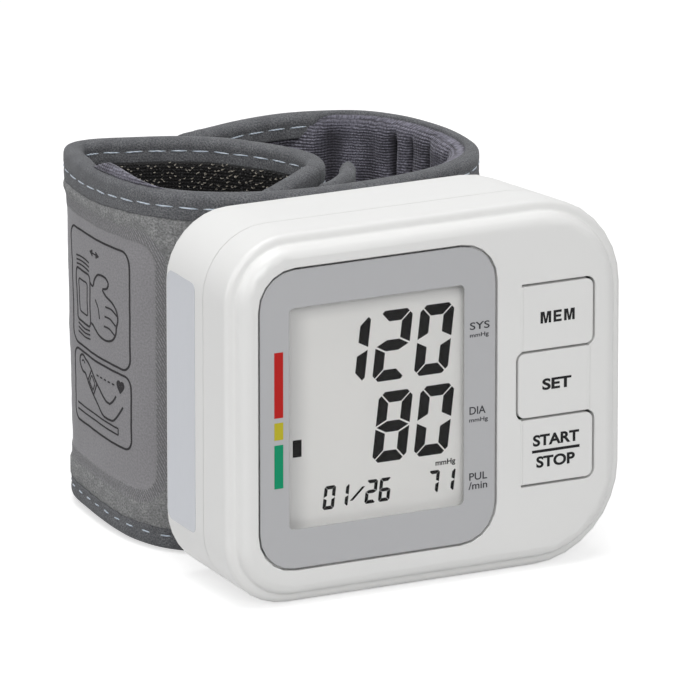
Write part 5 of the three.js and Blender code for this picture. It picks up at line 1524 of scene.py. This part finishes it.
PALM = [
    (92.6, 44.2), (94.0, 43.8), (94.9, 45.4), (96.6, 46.6), (99.2, 46.7), (100.4, 45.9), (99.9, 44.8),
    (98.2, 44.2), (99.6, 43.3), (101.6, 42.6), (103.2, 41.4), (103.7, 39.9), (103.3, 38.4), (103.0, 37.0),
    (101.6, 35.6), (99.2, 34.9), (96.4, 35.2), (94.2, 36.4), (92.6, 36.6),
]
WRIST_AXIS = 40.5
GAP_HEIGHT, ARROW_LENGTH, ARROW_HALF = 50.0, 1.3, 0.6
ARM_LINES = (
    [(99.6, 20.3), (97.4, 20.6), (94.6, 22.4), (91.6, 24.5), (89.2, 26.1)],
    [(91.4, 28.2), (93.8, 26.7), (96.6, 24.9), (98.8, 23.6), (100.4, 23.4)],
    [(99.6, 20.3), (101.6, 20.6), (103.2, 21.8), (105.2, 24.0)],
    [(100.4, 23.4), (101.6, 24.2), (102.6, 25.4)],
    [(89.2, 26.1), (87.6, 26.3), (86.4, 27.4), (86.6, 28.7), (88.0, 29.3), (89.4, 28.8), (90.4, 28.6),
     (91.4, 28.2)],
)
TABLE_LOW, TABLE_HIGH, TABLE_LEFT, TABLE_RIGHT = 18.4, 19.6, 85.0, 103.4
HEART_CENTRE, HEART_SIZE, HEART_LEVEL = (104.2, 27.6), 2.4, 27.4


def wrist_picture(ink_lines):
    """A fist whose wrist wears the monitor, with a gap mark between the two."""
    ink_lines.box((85.6, 35.6), (92.6, 45.4), 0.9)
    ink_lines.box((87.0, 37.4), (91.2, 43.6), 0.5, FINE)
    for rise in (5.6, 6.4, 7.2):
        for way in (1, -1):
            z = WRIST_AXIS + way * rise
            ink_lines.curve([(86.0, z), (89.1, z + way * 0.3), (92.2, z)], FINE)
    ink_lines.curve(PALM)
    for x, z in ((99.4, 41.3), (99.0, 39.4), (98.7, 37.5)):
        ink_lines.curve([(x, z), (x + 2.0, z), (x + 4.0, z - 0.8)], 0.32)
    ink_lines.curve([(95.2, 41.6), (96.4, 40.2), (97.0, 38.4)], FINE)
    ink_lines.line([(93.2, GAP_HEIGHT), (96.4, GAP_HEIGHT)], HAIR)
    for tip, way in ((92.6, 1), (97.0, -1)):
        for share in (0.25, 0.5, 0.75, 1.0):
            x, half = tip + way * share * ARROW_LENGTH, share * ARROW_HALF
            ink_lines.line([(x, GAP_HEIGHT - half), (x, GAP_HEIGHT + half)], MIDDLE_LINE)


def heart_line(centre, size):
    angle = np.linspace(0, 2 * math.pi, 36, endpoint=False)
    x = 16 * np.sin(angle) ** 3
    z = 13 * np.cos(angle) - 5 * np.cos(2 * angle) - 2 * np.cos(3 * angle) - np.cos(4 * angle)
    return np.array(centre) + size * joined(x, z) / 32


def arm_picture(ink_lines):
    """A forearm that rests its elbow on a table, with the monitor level with the heart."""
    for z in (TABLE_HIGH, TABLE_LOW):
        ink_lines.line([(TABLE_LEFT, z), (TABLE_RIGHT, z)], FINE)
    ink_lines.line([(TABLE_RIGHT, TABLE_LOW), (TABLE_RIGHT, TABLE_HIGH)], FINE)
    for points in ARM_LINES:
        ink_lines.curve(points)
    ink_lines.curve([(87.4, 28.0), (88.2, 28.3), (88.9, 27.9)], HAIR)
    ink_lines.loop([(90.6, 25.0), (93.4, 23.1), (95.2, 25.7), (92.4, 27.6)], MIDDLE_LINE)
    ink_lines.loop([(91.5, 25.2), (93.2, 24.0), (94.3, 25.5), (92.6, 26.7)], 0.26)
    ink_lines.spot(heart_line(HEART_CENTRE, HEART_SIZE), (HEART_CENTRE[0], HEART_LEVEL))
    for start in np.arange(95.2, 102.4, 1.5):
        ink_lines.line([(start, HEART_LEVEL), (start + 0.8, HEART_LEVEL)], HAIR)


panel_lines = Print()
panel_lines.box((83.2, 31.0), (107.4, 53.0), 2.4)
panel_lines.box((83.6, 16.4), (107.6, 29.9), 2.0)
wrist_picture(panel_lines)
arm_picture(panel_lines)
hold(panel_lines.piece("panel_print", fabric_ink, smooth=False), STRETCHES["wrap"])
